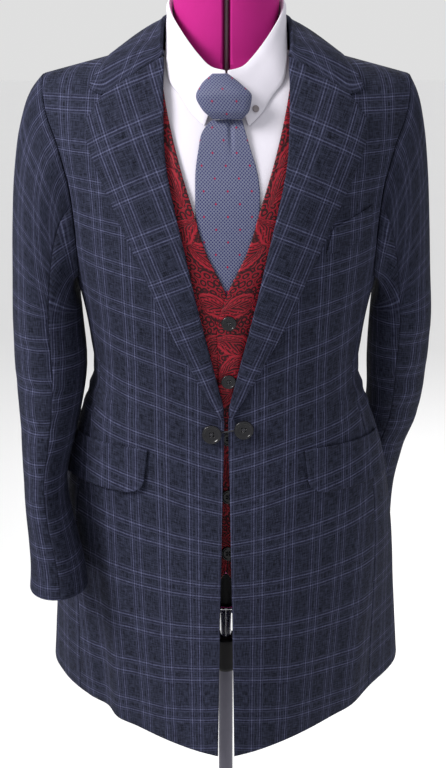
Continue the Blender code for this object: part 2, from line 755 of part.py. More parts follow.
def sleeve_grid(pieces, rows, cap):
    """A sleeve's outer and inner points: rings from the armhole, over the cap, to the cuff."""
    ring = armhole(pieces)
    seat = [BODY.point(u, z) for u, z in ring]
    count = len(seat)
    under_first, under_last = ARMHOLE_FRONT - 1, ARMHOLE_FRONT - 1 + SIDE_COLS
    bottom = (under_first + under_last) // 2
    lengths = np.cumsum([0.0] + [(seat[(k + 1) % count] - seat[k]).length for k in range(count)])
    turns, away = [], []
    for k, (u, z) in enumerate(ring):
        share = lengths[k] / lengths[bottom]
        past = (lengths[k] - lengths[bottom]) / (lengths[-1] - lengths[bottom])
        turns.append(math.pi * (share if k <= bottom else 1 + past))
        along = seat[(k + 1) % count] - seat[(k - 1) % count]
        out = along.cross(BODY.normal(u, z)).normalized()
        if under_first <= k <= under_last:
            wanted = Vector((0.0, 0.0, 1.0))
        else:
            wanted = Vector((1.0, 0.0, 0.0))
        away.append(-out if out.dot(wanted) < 0 else out)
    grid = [[p + out * (SEAM_GAP * 1.5) for p, out in zip(seat, away)]]
    for t in CAP_STEPS:
        line = []
        for p, turn in zip(grid[0], turns):
            low = (1 - math.cos(turn)) / 2
            end = sleeve_ring_point(rows, CAP_END_Z, turn)
            leave = [lerp(a, b, low) for a, b in zip(cap.leave, UNDER_CAP.leave)]
            drop = [lerp(a, b, low) for a, b in zip(cap.end, UNDER_CAP.end)]
            first = p + Vector((leave[0], -0.010 * math.sin(turn), leave[1]))
            last = end + Vector((drop[0], 0.0, drop[1]))
            near, far = (1 - t) ** 2, t * t
            line.append(p * near * (1 - t) + first * 3 * t * near + last * 3 * far * (1 - t) + end * far * t)
        grid.append(line)
    for z in rows["z"]:
        if z <= CAP_END_Z:
            grid.append([sleeve_ring_point(rows, z, turn) for turn in turns])
    centres = [sum(line, Vector()) / count for line in grid]
    centres[0].x -= 0.02

    def outward(i, j):
        return grid[i][j] - centres[i]

    normals = grid_normals(grid, True, outward)
    for k in range(count):
        inside = normals[0][k].dot(away[k])
        if inside > 0:
            normals[0][k] = (normals[0][k] - away[k] * inside).normalized()
    return grid, moved(grid, normals, -COAT_WALL)


def part_of_ring(grid, first, last, gap):
    """The columns of a tube from first round to last, their ends drawn in by a gap."""
    count = len(grid[0])
    columns = [k % count for k in range(first, last + 1)]
    cut = []
    for row in grid:
        line = [row[k].copy() for k in columns]
        line[0] += (line[1] - line[0]).normalized() * gap
        line[-1] += (line[-2] - line[-1]).normalized() * gap
        cut.append(line)
    return cut


def sleeves(pieces, group):
    """Both sleeves, each a top sleeve and an under sleeve, with their cuff buttons."""
    for side, rows, cap in ((1, LEFT_SLEEVE, LEFT_CAP), (-1, RIGHT_SLEEVE, RIGHT_CAP)):
        outer, inner = sleeve_grid(pieces, rows, cap)
        count = len(outer[0])
        front_seam, back_seam = 7, count - 4
        for name, first, last in (
            ("top", back_seam, front_seam + count),
            ("under", front_seam, back_seam),
        ):
            cuts = [sided(part_of_ring(grid, first, last, SEAM_GAP * 0.7), side) for grid in (outer, inner)]
            add_wall(f"coat_sleeve_{name}_{side_name(side)}", *cuts, "coat_wool", group)
        cuff_buttons(rows, side, group)


CUFF_BUTTON_RADIUS = 0.0075
CUFF_BUTTON_TURN = -0.62
CUFF_BUTTON_STEP = 0.0165
CUFF_BUTTONS = 4


def cuff_buttons(rows, side, group):
    """The row of small buttons beside the back seam of the cuff."""
    cuff = min(rows["z"])
    for index in range(CUFF_BUTTONS):
        z = cuff + 0.022 + index * CUFF_BUTTON_STEP
        place = sleeve_ring_point(rows, z, CUFF_BUTTON_TURN)
        around = sleeve_ring_point(rows, z, CUFF_BUTTON_TURN + 0.05) - place
        along = sleeve_ring_point(rows, z + 0.01, CUFF_BUTTON_TURN) - place
        normal = around.cross(along).normalized()
        if normal.x < 0:
            normal.negate()
        seat = place + normal * 0.0005
        centre = Vector((seat.x * side, seat.y, seat.z))
        facing = Vector((normal.x * side, normal.y, normal.z))
        name = f"coat_cuff_button_{side_name(side)}_{index + 1}"
        add_button(name, CUFF_BUTTON_RADIUS, 0.0030, centre, facing, "horn_button", group, 10)


FLAP_TOP_Z = 0.9955
FLAP_LOW_Z = 0.9410
FLAP_FRONT_X = 0.0885
FLAP_FRONT_LOW_X = 0.0950
FLAP_BACK_SHARE = 0.462
FLAP_COLS = 7
FLAP_ROWS = 4


def flaps(group):
    """The hip flaps, from the front round onto the side body, free below their top seam."""
    places = []
    for i in range(FLAP_ROWS + 1):
        t = i / FLAP_ROWS
        x = lerp(FLAP_FRONT_X, FLAP_FRONT_LOW_X, t)
        z = lerp(FLAP_TOP_Z, FLAP_LOW_Z, t)
        end = (BODY.u_of_share(FLAP_BACK_SHARE, z), z - 0.004)
        row = row_between(front_place(x, z), end, FLAP_COLS)
        if i == FLAP_ROWS:
            row[0] = (front_place(x + 0.001, z)[0], z + 0.0075)
            row[1] = (row[1][0] - 0.010, z + 0.0010)
        places.append(row)

    def outer(i, j, u, z):
        return FLAP_WALL + 0.0008 + 0.0035 * (i / FLAP_ROWS) ** 2

    for side in (1, -1):
        panel(f"coat_flap_{side_name(side)}", places, "coat_wool", group, side, outer, FLAP_WALL)


WELT_CORNERS = ((0.1135, 1.2500), (0.1585, 1.2700), (0.1555, 1.2350), (0.1060, 1.2210))
WELT_WALL = 0.0016


def breast_welt(group):
    """The slanted welt of the breast pocket, on the wearer's left."""
    (x0, z0), (x1, z1), (x2, z2), (x3, z3) = WELT_CORNERS
    places = []
    for t in (0.0, 0.5, 1.0):
        start = front_place(lerp(x0, x3, t), lerp(z0, z3, t))
        end = front_place(lerp(x1, x2, t), lerp(z1, z2, t))
        places.append(row_between(start, end, 4))
    panel("coat_breast_welt", places, "coat_wool", group, 1, WELT_WALL + 0.0007, WELT_WALL)


COAT_BUTTON_RADIUS = 0.0113
COAT_BUTTONS = {1: (0.0192, 1.0250), -1: (0.0160, 1.0195)}
LINK_RADIUS = 0.0009
LINK_RINGS = 6


def closure(group):
    """The two front buttons and the thread link that joins them."""
    for side, (x, z) in COAT_BUTTONS.items():
        place = front_place(x, z)
        normal = BODY.normal(*place)
        seat = BODY.point(*place, 0.0032)
        facing = Vector((normal.x * side, normal.y, normal.z))
        centre = Vector((seat.x * side, seat.y, seat.z))
        name = f"coat_button_{side_name(side)}"
        add_button(name, COAT_BUTTON_RADIUS, 0.0038, centre, facing, "horn_button", group, 20)
    (left_x, left_z), (right_x, right_z) = COAT_BUTTONS[1], COAT_BUTTONS[-1]
    rings = []
    for i in range(LINK_RINGS + 1):
        t = i / LINK_RINGS
        x, z = lerp(0.002 - right_x, left_x - 0.002, t), lerp(right_z, left_z, t)
        y = BODY.point(*front_place(max(abs(x), CENTRE_EDGE), z), 0.0021).y
        turns = [2 * math.pi * k / 8 for k in range(8)]
        rings.append([Vector((x, y + LINK_RADIUS * math.cos(a), z + LINK_RADIUS * math.sin(a))) for a in turns])
    add_loft("coat_button_link", rings, "thread", group)


# The vest's fronts: the neck edge, then the lap, and the armhole or the side seam.
VEST_ROWS = {
    "edge_x": (0.0765, 0.0690, 0.0620, 0.0500, 0.0355, 0.0225, 0.0016, VEST_LAP_X, VEST_LAP_X,
               VEST_LAP_X, VEST_LAP_X, VEST_LAP_X, VEST_LAP_X),
    "edge_z": (0.0, 1.4000, 1.3660, 1.3180, 1.2700, 1.2270, 1.1840, 1.1480, 1.1080, 1.0680, 1.0320,
               0.9980, 0.9600),
    "side_x": (0.1400, 0.1350, 0.1310, 0.1310, 0.1400, 0.1560, 0.0, 0.0, 0.0, 0.0, 0.0, 0.0, 0.0),
    "side_z": (0.0, 1.3650, 1.3250, 1.2800, 1.2350, 1.2000, 1.1650, 1.1400, 1.1050, 1.0680, 1.0320,
               1.0000, 0.9680),
}
VEST_HEM = ((VEST_LAP_X, 0.858), (0.0125, 0.836), (0.0205, 0.827), (0.0450, 0.800), (0.0750, 0.832),
            (0.1050, 0.862))
VEST_HEM_SIDE = 0.905
VEST_LAP_FOLD = 0.022
VEST_LAP_STEP = 0.008
VEST_COLS = 6
SIDE_SHARE = 0.5
UNDER_SHARES = (0.08, 0.30, 0.62)
VEST_RAISE = VEST_WALL + LAYER_GAP


def inner_layer(name):
    """How far out a hidden layer's outer surface lies at each place."""
    def outer(i, j, u, z):
        return table(INNER_LAYERS, name, z)

    return outer


def side_seam_place(z, gap):
    """The vest's and the shirt's side seam."""
    row = BODY.section(z)
    return BODY.u_of_arc(SIDE_SHARE * row["arc"][-1] + gap, z), z


def vest_front_places():
    """The grid of a vest front, with two columns beside its edge for the lap."""
    rows = []
    for index, edge_x in enumerate(VEST_ROWS["edge_x"]):
        edge_z = VEST_ROWS["edge_z"][index] or shoulder_z(edge_x)
        side_x = VEST_ROWS["side_x"][index]
        side_z = VEST_ROWS["side_z"][index] or shoulder_z(side_x)
        side = front_place(side_x, side_z) if side_x else side_seam_place(side_z, -SEAM_GAP / 2)
        inner = [front_place(edge_x, edge_z), front_place(edge_x + VEST_LAP_FOLD, edge_z)]
        step = front_place(edge_x + VEST_LAP_FOLD + VEST_LAP_STEP, edge_z)
        if index == 0:
            inner = [front_place(x, shoulder_z(x)) for x in (edge_x, edge_x + VEST_LAP_FOLD * 0.7)]
            step_x = edge_x + VEST_LAP_FOLD
            step = front_place(step_x, shoulder_z(step_x))
        rows.append(inner + row_between(step, side, VEST_COLS - 2))
    rows[1:1] = rows_below_shoulder(rows[0], rows[1], UNDER_SHARES, front_place)
    hem = [front_place(x, z) for x, z in VEST_HEM] + [side_seam_place(VEST_HEM_SIDE, -SEAM_GAP / 2)]
    last = rows[-1]
    rows.append([(lerp(a[0], b[0], 0.5), lerp(a[1], b[1], 0.5)) for a, b in zip(last, hem)])
    rows.append(hem)
    return rows


def under_half(behind, neck_z, side_rows, levels, columns=6):
    """Half of a hidden layer: its top follows the neckline and then the shoulder."""
    place = back_place if behind else front_place
    neck_cols = 3
    xs = [0.0765 * j / neck_cols for j in range(neck_cols)]
    xs += [lerp(0.0765, 0.140, j / (columns - neck_cols)) for j in range(columns - neck_cols + 1)]
    top = []
    for x in xs:
        if x < 0.0765:
            share = (x / 0.0765) ** 2
            z = lerp(neck_z, shoulder_z(0.0765), share)
        else:
            z = shoulder_z(x)
        top.append((1.0, z) if behind and x == 0 else place(x, z))
    rows = [top]
    for inner_z, side_x, side_z in side_rows:
        start = (1.0 if behind else 0.0, inner_z)
        rows.append(row_between(start, place(side_x, side_z), columns))
    rows[1:1] = rows_below_shoulder(top, rows[1], UNDER_SHARES, place)
    for z in levels:
        start = (1.0 if behind else 0.0, z)
        gap = SEAM_GAP / 2 if behind else -SEAM_GAP / 2
        rows.append(row_between(start, side_seam_place(z, gap), columns))
    return rows


def vest(group):
    """Two fronts, the left lapped over the right, the back and five buttons."""
    places = vest_front_places()
    first_lapped = VEST_ROWS["edge_x"].index(0.0016) + len(UNDER_SHARES)
    layer = inner_layer("vest")

    def lapped(i, j, u, z):
        return layer(i, j, u, z) + (VEST_RAISE if i >= first_lapped and j < 2 else 0.0)

    panel("vest_front_left", places, "vest_brocade", group, 1, lapped, VEST_WALL)
    panel("vest_front_right", places, "vest_brocade", group, -1, layer, VEST_WALL)
    side_rows = ((1.395, 0.135, 1.375), (1.350, 0.131, 1.335), (1.300, 0.134, 1.290),
                 (1.250, 0.146, 1.240), (1.205, 0.160, 1.200))
    half = lay(under_half(True, 1.428, side_rows, VEST_BACK_LEVELS), layer)
    inside = lay(under_half(True, 1.428, side_rows, VEST_BACK_LEVELS),
                 lambda i, j, u, z: layer(i, j, u, z) - VEST_WALL)
    add_wall("vest_back", across(half), across(inside), "vest_brocade", group)
    for index in range(5):
        z = VEST_BUTTON_TOP - index * VEST_BUTTON_STEP
        place = front_place(VEST_BUTTON_X, z)
        seat = BODY.point(*place, layer(0, 0, *place) + VEST_RAISE + VEST_BUTTON_LIFTS[index])
        add_button(f"vest_button_{index + 1}", 0.0085, 0.0030, seat, BODY.normal(*place),
                   "horn_button", group, 16)


VEST_BACK_LEVELS = (1.165, 1.140, 1.105, 1.068, 1.032, 1.000, 0.968, 0.9365, 0.905)
VEST_BUTTON_TOP = 1.149
VEST_BUTTON_STEP = 0.0690
VEST_BUTTON_X = 0.0025
VEST_BUTTON_LIFTS = (0.0002, 0.0010, 0.0012, 0.0006, 0.0010)


def across(half):
    """Joins a half grid, whose first column lies on the centre plane, to its mirror, column-wise."""
    for row in half:
        row[0].x = 0.0
    return [[Vector((-p.x, p.y, p.z)) for p in row[:0:-1]] + row for row in half]


SHIRT_LEVELS = (1.165, 1.140, 1.105, 1.068, 1.045)
# The shirt collar from its front round to the centre back: the foot of its stand, its crest and
# the outer edge of its leaf. The first rows of the leaf lie on the shirt and end in its point.
SHIRT_COLLAR_ROWS = {
    "foot": ((0.0012, -0.0850, 1.3990), (0.0150, -0.0780, 1.4010), (0.0250, -0.0690, 1.4080),
             (0.0360, -0.0590, 1.4180), (0.0470, -0.0440, 1.4270), (0.0575, -0.0230, 1.4350),
             (0.0612, -0.0020, 1.4400), (0.0590, 0.0140, 1.4410), (0.0500, 0.0285, 1.4415),
             (0.0275, 0.0455, 1.4420), (0.0, 0.0520, 1.4420)),
    "crest": ((0.0012, -0.0880, 1.4110), (0.0170, -0.0805, 1.4150), (0.0280, -0.0720, 1.4250),
              (0.0390, -0.0620, 1.4380), (0.0500, -0.0470, 1.4530), (0.0600, -0.0250, 1.4690),
              (0.0630, -0.0020, 1.4815), (0.0605, 0.0145, 1.4860), (0.0515, 0.0295, 1.4890),
              (0.0285, 0.0475, 1.4910), (0.0, 0.0545, 1.4920)),
    "leaf": ((0.0236, 0.0, 1.3580), (0.0384, 0.0, 1.3718), (0.0500, 0.0, 1.3880),
             (0.0615, 0.0, 1.4020), (0.0650, -0.0560, 1.4200), (0.0662, -0.0270, 1.4400),
             (0.0668, -0.0020, 1.4440), (0.0645, 0.0155, 1.4450), (0.0550, 0.0315, 1.4455),
             (0.0305, 0.0505, 1.4460), (0.0, 0.0575, 1.4460)),
}
LEAF_LAID = 4
LEAF_OFF = -0.0066
LEAF_COLS = 3
SNAP_RADIUS = 0.0038
SNAP_HEIGHT = 0.0018
SNAP_ACROSS = 0.70
SNAP_UP = 0.45


def shirt(group):
    """The shirt: two fronts, a back and the turned-down collar with its small snap."""
    layer = inner_layer("shirt")
    front_rows = ((1.385, 0.135, 1.365), (1.345, 0.131, 1.325), (1.300, 0.131, 1.280),
                  (1.255, 0.140, 1.235), (1.215, 0.156, 1.200))
    places = under_half(False, 1.398, front_rows, SHIRT_LEVELS)
    places = [[(BODY.u_of_arc(SEAM_GAP / 2, row[0][1]), row[0][1])] + row[1:] for row in places]
    for side in (1, -1):
        panel(f"shirt_front_{side_name(side)}", places, "shirt_cotton", group, side, layer, SHIRT_WALL)
    back = under_half(True, 1.428, ((1.395, 0.135, 1.375), (1.350, 0.131, 1.335), (1.300, 0.134, 1.290),
                                    (1.250, 0.146, 1.240), (1.205, 0.158, 1.200)), SHIRT_LEVELS)
    outer = across(lay(back, layer))
    inner = across(lay(back, lambda i, j, u, z: layer(i, j, u, z) - SHIRT_WALL))
    add_wall("shirt_back", outer, inner, "shirt_cotton", group)
    half = []
    for index, leaf in enumerate(SHIRT_COLLAR_ROWS["leaf"]):
        foot, crest = (Vector(SHIRT_COLLAR_ROWS[key][index]) for key in ("foot", "crest"))
        laid = index < LEAF_LAID
        edge = BODY.point(*front_place(leaf[0], leaf[2]), LEAF_OFF) if laid else Vector(leaf)
        half.append(turned_down(foot, crest, edge, SHIRT_CREST, LEAF_COLS, 0.0015 if laid else 0.0003))
    full = joined_halves(half)
    normals = grid_normals(full, False, collar_outward(full))
    add_wall("shirt_collar", full, moved(full, normals, -SHIRT_WALL), "shirt_cotton", group)
    front, side = half[0], half[1]
    seat = front[-1].lerp(front[-2], SNAP_UP).lerp(side[-1].lerp(side[-2], SNAP_UP), SNAP_ACROSS)
    normal = (side[-1] - front[-1]).cross(front[-2] - front[-1]).normalized()
    add_button("shirt_collar_snap", SNAP_RADIUS, SNAP_HEIGHT, seat + normal * 2 * SEAM_GAP, normal,
               "grey_plastic", group, 12)


# The tie: the knot's rings and the blade's edges (wearer's right, wearer's left).
KNOT_RINGS = {
    "z": (1.3625, 1.3720, 1.3860, 1.3980, 1.4080),
    "right": (-0.0145, -0.0250, -0.0318, -0.0260, -0.0150),
    "left": (0.0165, 0.0240, 0.0262, 0.0150, 0.0015),
    "back": (-0.1070, -0.1050, -0.1015, -0.0970, -0.0930),
    "front": (-0.1150, -0.1190, -0.1185, -0.1120, -0.1030),
}
KNOT_LEVELS = 8
BLADE_ROWS = {
    "z": (1.190, 1.215, 1.240, 1.2754, 1.290, 1.312, 1.335, 1.349, 1.357, 1.3629),
    "right": (-0.0060, -0.0200, -0.0300, -0.0335, -0.0335, -0.0330, -0.0295, -0.0265, -0.0215, -0.0150),
    "left": (0.0070, 0.0220, 0.0330, 0.0360, 0.0358, 0.0325, 0.0250, 0.0205, 0.0182, 0.0168),
    "off": (-0.0068, -0.0068, -0.0068, -0.0068, -0.0067, -0.0060, -0.0042, -0.0030, -0.0024, -0.0022),
}
BLADE_COLS = 6
KNOT_SIDES = 14


def add_loft(name, rings, material_name, group):
    """A solid through closed rings of points, capped at both ends."""
    bm = bmesh.new()
    verts = [[bm.verts.new(p) for p in ring] for ring in rings]
    count = len(rings[0])
    for low, high in zip(verts, verts[1:]):
        for k in range(count):
            n = (k + 1) % count
            bm.faces.new((low[k], low[n], high[n], high[k]))
    bm.faces.new(verts[0][::-1])
    bm.faces.new(verts[-1])
    return add_object(name, bm, material_name, group)


def tie(group):
    """The knot and the blade under it, whose end lies behind the vest."""
    rings = []
    for index in range(KNOT_LEVELS + 1):
        z = lerp(KNOT_RINGS["z"][0], KNOT_RINGS["z"][-1], index / KNOT_LEVELS)
        right, left, back, front = (table(KNOT_RINGS, key, z) for key in ("right", "left", "back", "front"))
        ring = []
        for k in range(KNOT_SIDES):
            angle = 2 * math.pi * k / KNOT_SIDES
            across_share = math.copysign(abs(math.cos(angle)) ** 0.8, math.cos(angle))
            out_share = math.copysign(abs(math.sin(angle)) ** 0.8, math.sin(angle))
            ring.append(Vector(((right + left) / 2 + (left - right) / 2 * across_share,
                                (back + front) / 2 + (back - front) / 2 * out_share, z)))
        rings.append(ring)
    add_loft("tie_knot", rings, "tie_silk", group)
    outer, inner = [], []
    for index, z in enumerate(BLADE_ROWS["z"]):
        right, left = BLADE_ROWS["right"][index], BLADE_ROWS["left"][index]
        off = BLADE_ROWS["off"][index]
        places = [front_place(lerp(right, left, j / BLADE_COLS) or 1e-6, z) for j in range(BLADE_COLS + 1)]
        outer.append([BODY.point(u, z, off) for u, z in places])
        inner.append([BODY.point(u, z, off - TIE_WALL) for u, z in places])
    add_wall("tie_blade", outer, inner, "tie_silk", group)


FORM_SIDES = 28


def form_ring(index):
    """A ring of the dress form."""
    z, width = FORM_RINGS["z"][index], FORM_RINGS["half_width"][index]
    front, back = FORM_RINGS["front"][index], FORM_RINGS["back"][index]
    ring = []
    for k in range(FORM_SIDES):
        angle = 2 * math.pi * k / FORM_SIDES
        depth = back if math.sin(angle) > 0 else front
        ring.append(Vector((width * math.cos(angle), depth * math.sin(angle), z)))
    return ring


def dress_form(group, cutters):
    """The form's body and neck with the open slit at the centre front, and the rod in the slit."""
    rings = [form_ring(index) for index in range(len(FORM_RINGS["z"]))]
    body = add_loft("form_body", rings, "form_jersey", group)
    neck_front = FORM_RINGS["front"][-3]
    bpy.ops.mesh.primitive_cube_add(size=1.0)
    cutter = bpy.context.object
    cutter.name = "slit_cutter"
    top = FORM_RINGS["z"][-1]
    cutter.dimensions = (NECK_SLIT_WIDTH, 0.10, top + 0.02 - NECK_SLIT_Z)
    cutter.location = (0.0, -neck_front - 0.05 + NECK_SLIT_DEPTH, (top + 0.02 + NECK_SLIT_Z) / 2)
    bpy.context.view_layer.update()
    cutter.data.transform(cutter.matrix_world)
    cutter.matrix_world.identity()
    for owner in list(cutter.users_collection):
        owner.objects.unlink(cutter)
    cutters.objects.link(cutter)
    cutter.hide_render = True
    cutter.display_type = "WIRE"
    cut = body.modifiers.new("slit", "BOOLEAN")
    cut.object = cutter
    cut.operation = "DIFFERENCE"
    add_turned("form_slit_rod", ((0.0, 1.548), (0.0022, 1.548), (0.0022, 1.400), (0.0, 1.400)),
               "grey_plastic", group, 10, (0.0, -neck_front + NECK_SLIT_DEPTH - 0.0022 - SEAM_GAP, 0.0))
    bottom = FORM_RINGS["z"][0] - SEAM_GAP
    add_turned("form_hub", ((0.0, bottom), (0.045, bottom), (0.045, bottom - 0.008),
                            (HUB_RADIUS, bottom - 0.014), (HUB_RADIUS * 0.86, HUB_LOW + 0.006),
                            (HUB_RADIUS, HUB_LOW + 0.004), (HUB_RADIUS, HUB_LOW), (0.0, HUB_LOW)),
               "black_plastic", group, 20)


def stand(group):
    """The upper tube, which slides in the lower one, the clamp collar and the round base."""
    add_turned("form_upper_tube", ((0.0, HUB_LOW - SEAM_GAP), (UPPER_TUBE_RADIUS, HUB_LOW - SEAM_GAP),
                                   (UPPER_TUBE_RADIUS, UPPER_TUBE_LOW), (0.0, UPPER_TUBE_LOW)),
               "steel_tube", group, 16)
    inner = LOWER_BORE_RADIUS
    base_top = BASE_HEIGHT + 0.010
    add_turned("stand_clamp", ((UPPER_TUBE_RADIUS + 0.0005, CLAMP_HIGH), (CLAMP_RADIUS, CLAMP_HIGH),
                               (CLAMP_RADIUS, CLAMP_LOW), (LOWER_TUBE_RADIUS + SEAM_GAP, CLAMP_LOW),
                               (LOWER_TUBE_RADIUS + SEAM_GAP, CLAMP_HIGH - 0.010),
                               (UPPER_TUBE_RADIUS + 0.0005, CLAMP_HIGH - 0.010)),
               "black_plastic", group, 20)
    add_turned("stand_lower_tube", ((inner, CLAMP_HIGH - 0.0105), (LOWER_TUBE_RADIUS, CLAMP_HIGH - 0.0105),
                                    (LOWER_TUBE_RADIUS, base_top + SEAM_GAP), (inner, base_top + SEAM_GAP)),
               "grey_tube", group, 20)
    add_turned("stand_base", ((0.0, base_top), (0.022, base_top), (0.030, BASE_HEIGHT),
                              (BASE_RADIUS - 0.006, BASE_HEIGHT - 0.004), (BASE_RADIUS, BASE_HEIGHT - 0.009),
                              (BASE_RADIUS, 0.0), (0.0, 0.0)),
               "black_metal", group, 40)


def new_group(name):
    """A collection in the scene."""
    group = bpy.data.collections.new(name)
    bpy.context.scene.collection.children.link(group)
    return group


def build():
    """Clears the scene and builds the suit, the form and the stand."""
    for old in list(bpy.data.objects):
        bpy.data.objects.remove(old, do_unlink=True)
    group = new_group("saddle_seat_day_suit")
    cutters = new_group("cutters")
    pieces = coat_body(group)
    lapels(pieces["coat_front"], group)
    coat_collar(group)
    sleeves(pieces, group)
    flaps(group)
    breast_welt(group)
    closure(group)
    vest(group)
    shirt(group)
    tie(group)
    dress_form(group, cutters)
    stand(group)


build()
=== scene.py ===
"""Looks of a saddle seat day suit on its dress form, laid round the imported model.

Metres, +Z up; the suit faces -Y and the wearer's left is +X. Each cloth piece is a fine wall on
the surface of its solid, with a UV map in metres, so that weave and pattern follow the cloth.
"""

import logging
import math
from dataclasses import dataclass
from enum import Enum
from typing import Callable, Sequence

import bmesh
import bpy
import numpy as np
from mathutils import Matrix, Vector


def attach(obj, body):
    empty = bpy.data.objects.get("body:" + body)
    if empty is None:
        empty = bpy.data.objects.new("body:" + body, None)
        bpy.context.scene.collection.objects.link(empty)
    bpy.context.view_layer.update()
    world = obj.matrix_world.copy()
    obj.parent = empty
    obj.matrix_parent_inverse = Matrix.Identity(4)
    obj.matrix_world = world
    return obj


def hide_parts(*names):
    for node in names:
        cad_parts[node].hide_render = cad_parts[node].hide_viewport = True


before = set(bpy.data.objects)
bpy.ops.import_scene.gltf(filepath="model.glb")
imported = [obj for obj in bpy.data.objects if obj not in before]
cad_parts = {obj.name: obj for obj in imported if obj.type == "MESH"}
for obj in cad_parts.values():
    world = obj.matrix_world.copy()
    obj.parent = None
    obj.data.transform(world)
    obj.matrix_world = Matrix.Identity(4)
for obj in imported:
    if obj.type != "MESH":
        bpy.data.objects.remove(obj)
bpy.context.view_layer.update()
LOG = logging.getLogger("day_suit")

Place = tuple[float, float]
Rows = list[list[Vector]]
Places = list[list[Place]]

SEAM_GAP = 0.0003
COAT_WALL = 0.0020
VEST_WALL = 0.0012
SHIRT_WALL = 0.0010
TIE_WALL = 0.0018
LAYER_GAP = 0.0004
SHOULDER_TIP_X = 0.204
SHOULDER_TIP_Z = 1.405
SHOULDER_SLOPE = 0.26
SHOULDER_ROUND = 0.110
SHOULDER_POWER = 2.2
SHOULDER_SNAP = 0.00003
HEM_Z = 0.630
BUTTON_Z = 1.022
ARMPIT_Z = 1.185
VEST_LAP_X = -0.0095
CENTRE_EDGE = 0.0018
HEM_EDGE = 0.0095

# The master surface: height, half width, height of the widest line in y, depth in front of and
# behind it, and the power of the plan curve in front (2 is an ellipse, less is more pointed).
SECTIONS = {
    "z": (0.60, 0.63, 0.70, 0.76, 0.83, 0.88, 0.93, 0.98, 1.02, 1.07, 1.13, 1.18, 1.23,
          1.275, 1.32, 1.355, 1.39, 1.44, 1.48),
    "half_width": (0.240, 0.237, 0.229, 0.222, 0.215, 0.208, 0.199, 0.187, 0.1725, 0.158, 0.164,
                   0.175, 0.185, 0.190, 0.204, 0.214, 0.222, 0.224, 0.224),
    "widest_y": (0.092, 0.085, 0.070, 0.058, 0.044, 0.034, 0.022, 0.012, 0.005, 0.0, 0.0,
                 0.0, 0.0, 0.0, 0.0, 0.0, 0.0, 0.0, 0.0),
    "front_y": (0.169, 0.166, 0.158, 0.150, 0.141, 0.135, 0.129, 0.124, 0.121, 0.124, 0.133,
                0.139, 0.140, 0.137, 0.126, 0.1135, 0.102, 0.100, 0.098),
    "back_y": (0.198, 0.192, 0.178, 0.166, 0.153, 0.144, 0.131, 0.114, 0.101, 0.094, 0.104,
               0.114, 0.120, 0.121, 0.117, 0.110, 0.102, 0.090, 0.086),
    "front_power": (1.36, 1.38, 1.45, 1.55, 1.66, 1.74, 1.85, 2.0, 2.15, 2.2, 2.2,
                    2.2, 2.2, 2.2, 2.2, 2.2, 2.2, 2.2, 2.2),
}
BACK_POWER = 2.1

# How far the vest and the shirt lie inside the coat's outer surface.
INNER_LAYERS = {
    "z": (0.78, 0.85, 0.95, 1.03, 1.10, 1.20, 1.48),
    "vest": (-0.030, -0.024, -0.0140, -0.0090, -0.0052, -0.0044, -0.0044),
    "shirt": (-0.036, -0.030, -0.0200, -0.0140, -0.0096, -0.0090, -0.0090),
}

# Lapel rows, from the gorge down to the button: the roll line, the lapel's edge and the row's
# outer end, which is the armhole above the armpit and the side seam below it.
LAPEL_ROWS = {
    "roll_x": (0.0688, 0.0684, 0.0676, 0.0655, 0.0565, 0.0455, 0.0355, 0.0240, 0.0130, 0.0030),
    "roll_z": (1.4226, 1.3950, 1.3534, 1.3187, 1.2712, 1.2239, 1.1783, 1.1308, 1.0850, 1.0420),
    "edge_x": (0.1510, 0.1490, 0.1420, 0.1290, 0.1140, 0.0895, 0.0670, 0.0440, 0.0240, 0.0075),
    "edge_z": (1.3600, 1.3400, 1.3190, 1.2900, 1.2560, 1.2030, 1.1500, 1.1050, 1.0660, 1.0340),
    "side_x": (0.1855, 0.1790, 0.1735, 0.1700, 0.1675, 0.0, 0.0, 0.0, 0.0, 0.0),
    "side_z": (1.3330, 1.3120, 1.2900, 1.2650, 1.2300, ARMPIT_Z, 1.1500, 1.1080, 1.0680, 1.0320),
}
NOTCH = (0.1300, 1.3847)

# The side seams, as shares of the half girth from the centre front.
SEAMS = {
    "z": (0.63, 0.85, 1.07, 1.185),
    "front_side": (0.385, 0.392, 0.400, 0.415),
    "side_back": (0.660, 0.655, 0.640, 0.600),
}

# The collar, from its front end at the gorge round to the centre back: the foot of its stand, the
# crest of its roll, and the edge of its fall, where it lies over the shoulder's rounding.
COLLAR_ROWS = {
    "foot": ((0.0655, -0.0560, 1.4225), (0.0680, -0.0480, 1.4320), (0.0682, -0.0380, 1.4350),
             (0.0684, -0.0200, 1.4392), (0.0680, 0.0, 1.4412), (0.0650, 0.0170, 1.4412),
             (0.0570, 0.0330, 1.4400), (0.0330, 0.0530, 1.4385), (0.0, 0.0610, 1.4365)),
    "crest": ((0.0, 0.0, 0.0), (0.0712, -0.0490, 1.4385), (0.0712, -0.0385, 1.4460),
              (0.0714, -0.0205, 1.4560), (0.0705, 0.0, 1.4640), (0.0665, 0.0175, 1.4675),
              (0.0575, 0.0335, 1.4695), (0.0330, 0.0540, 1.4710), (0.0, 0.0625, 1.4720)),
    "edge": ((0.1480, -0.0580), (0.1415, -0.0480), (0.1340, -0.0360), (0.1265, -0.0200),
             (0.1170, 0.0), (0.1080, 0.0220), (0.0930, 0.0430), (0.0560, 0.0620), (0.0, 0.0715)),
}
COLLAR_CREST = 0.0026
COLLAR_CURL = ((0.0044, -0.0012), (0.0040, -0.0002), (0.0030, 0.0006), (0.0014, 0.0008))
SHIRT_CREST = 0.0017

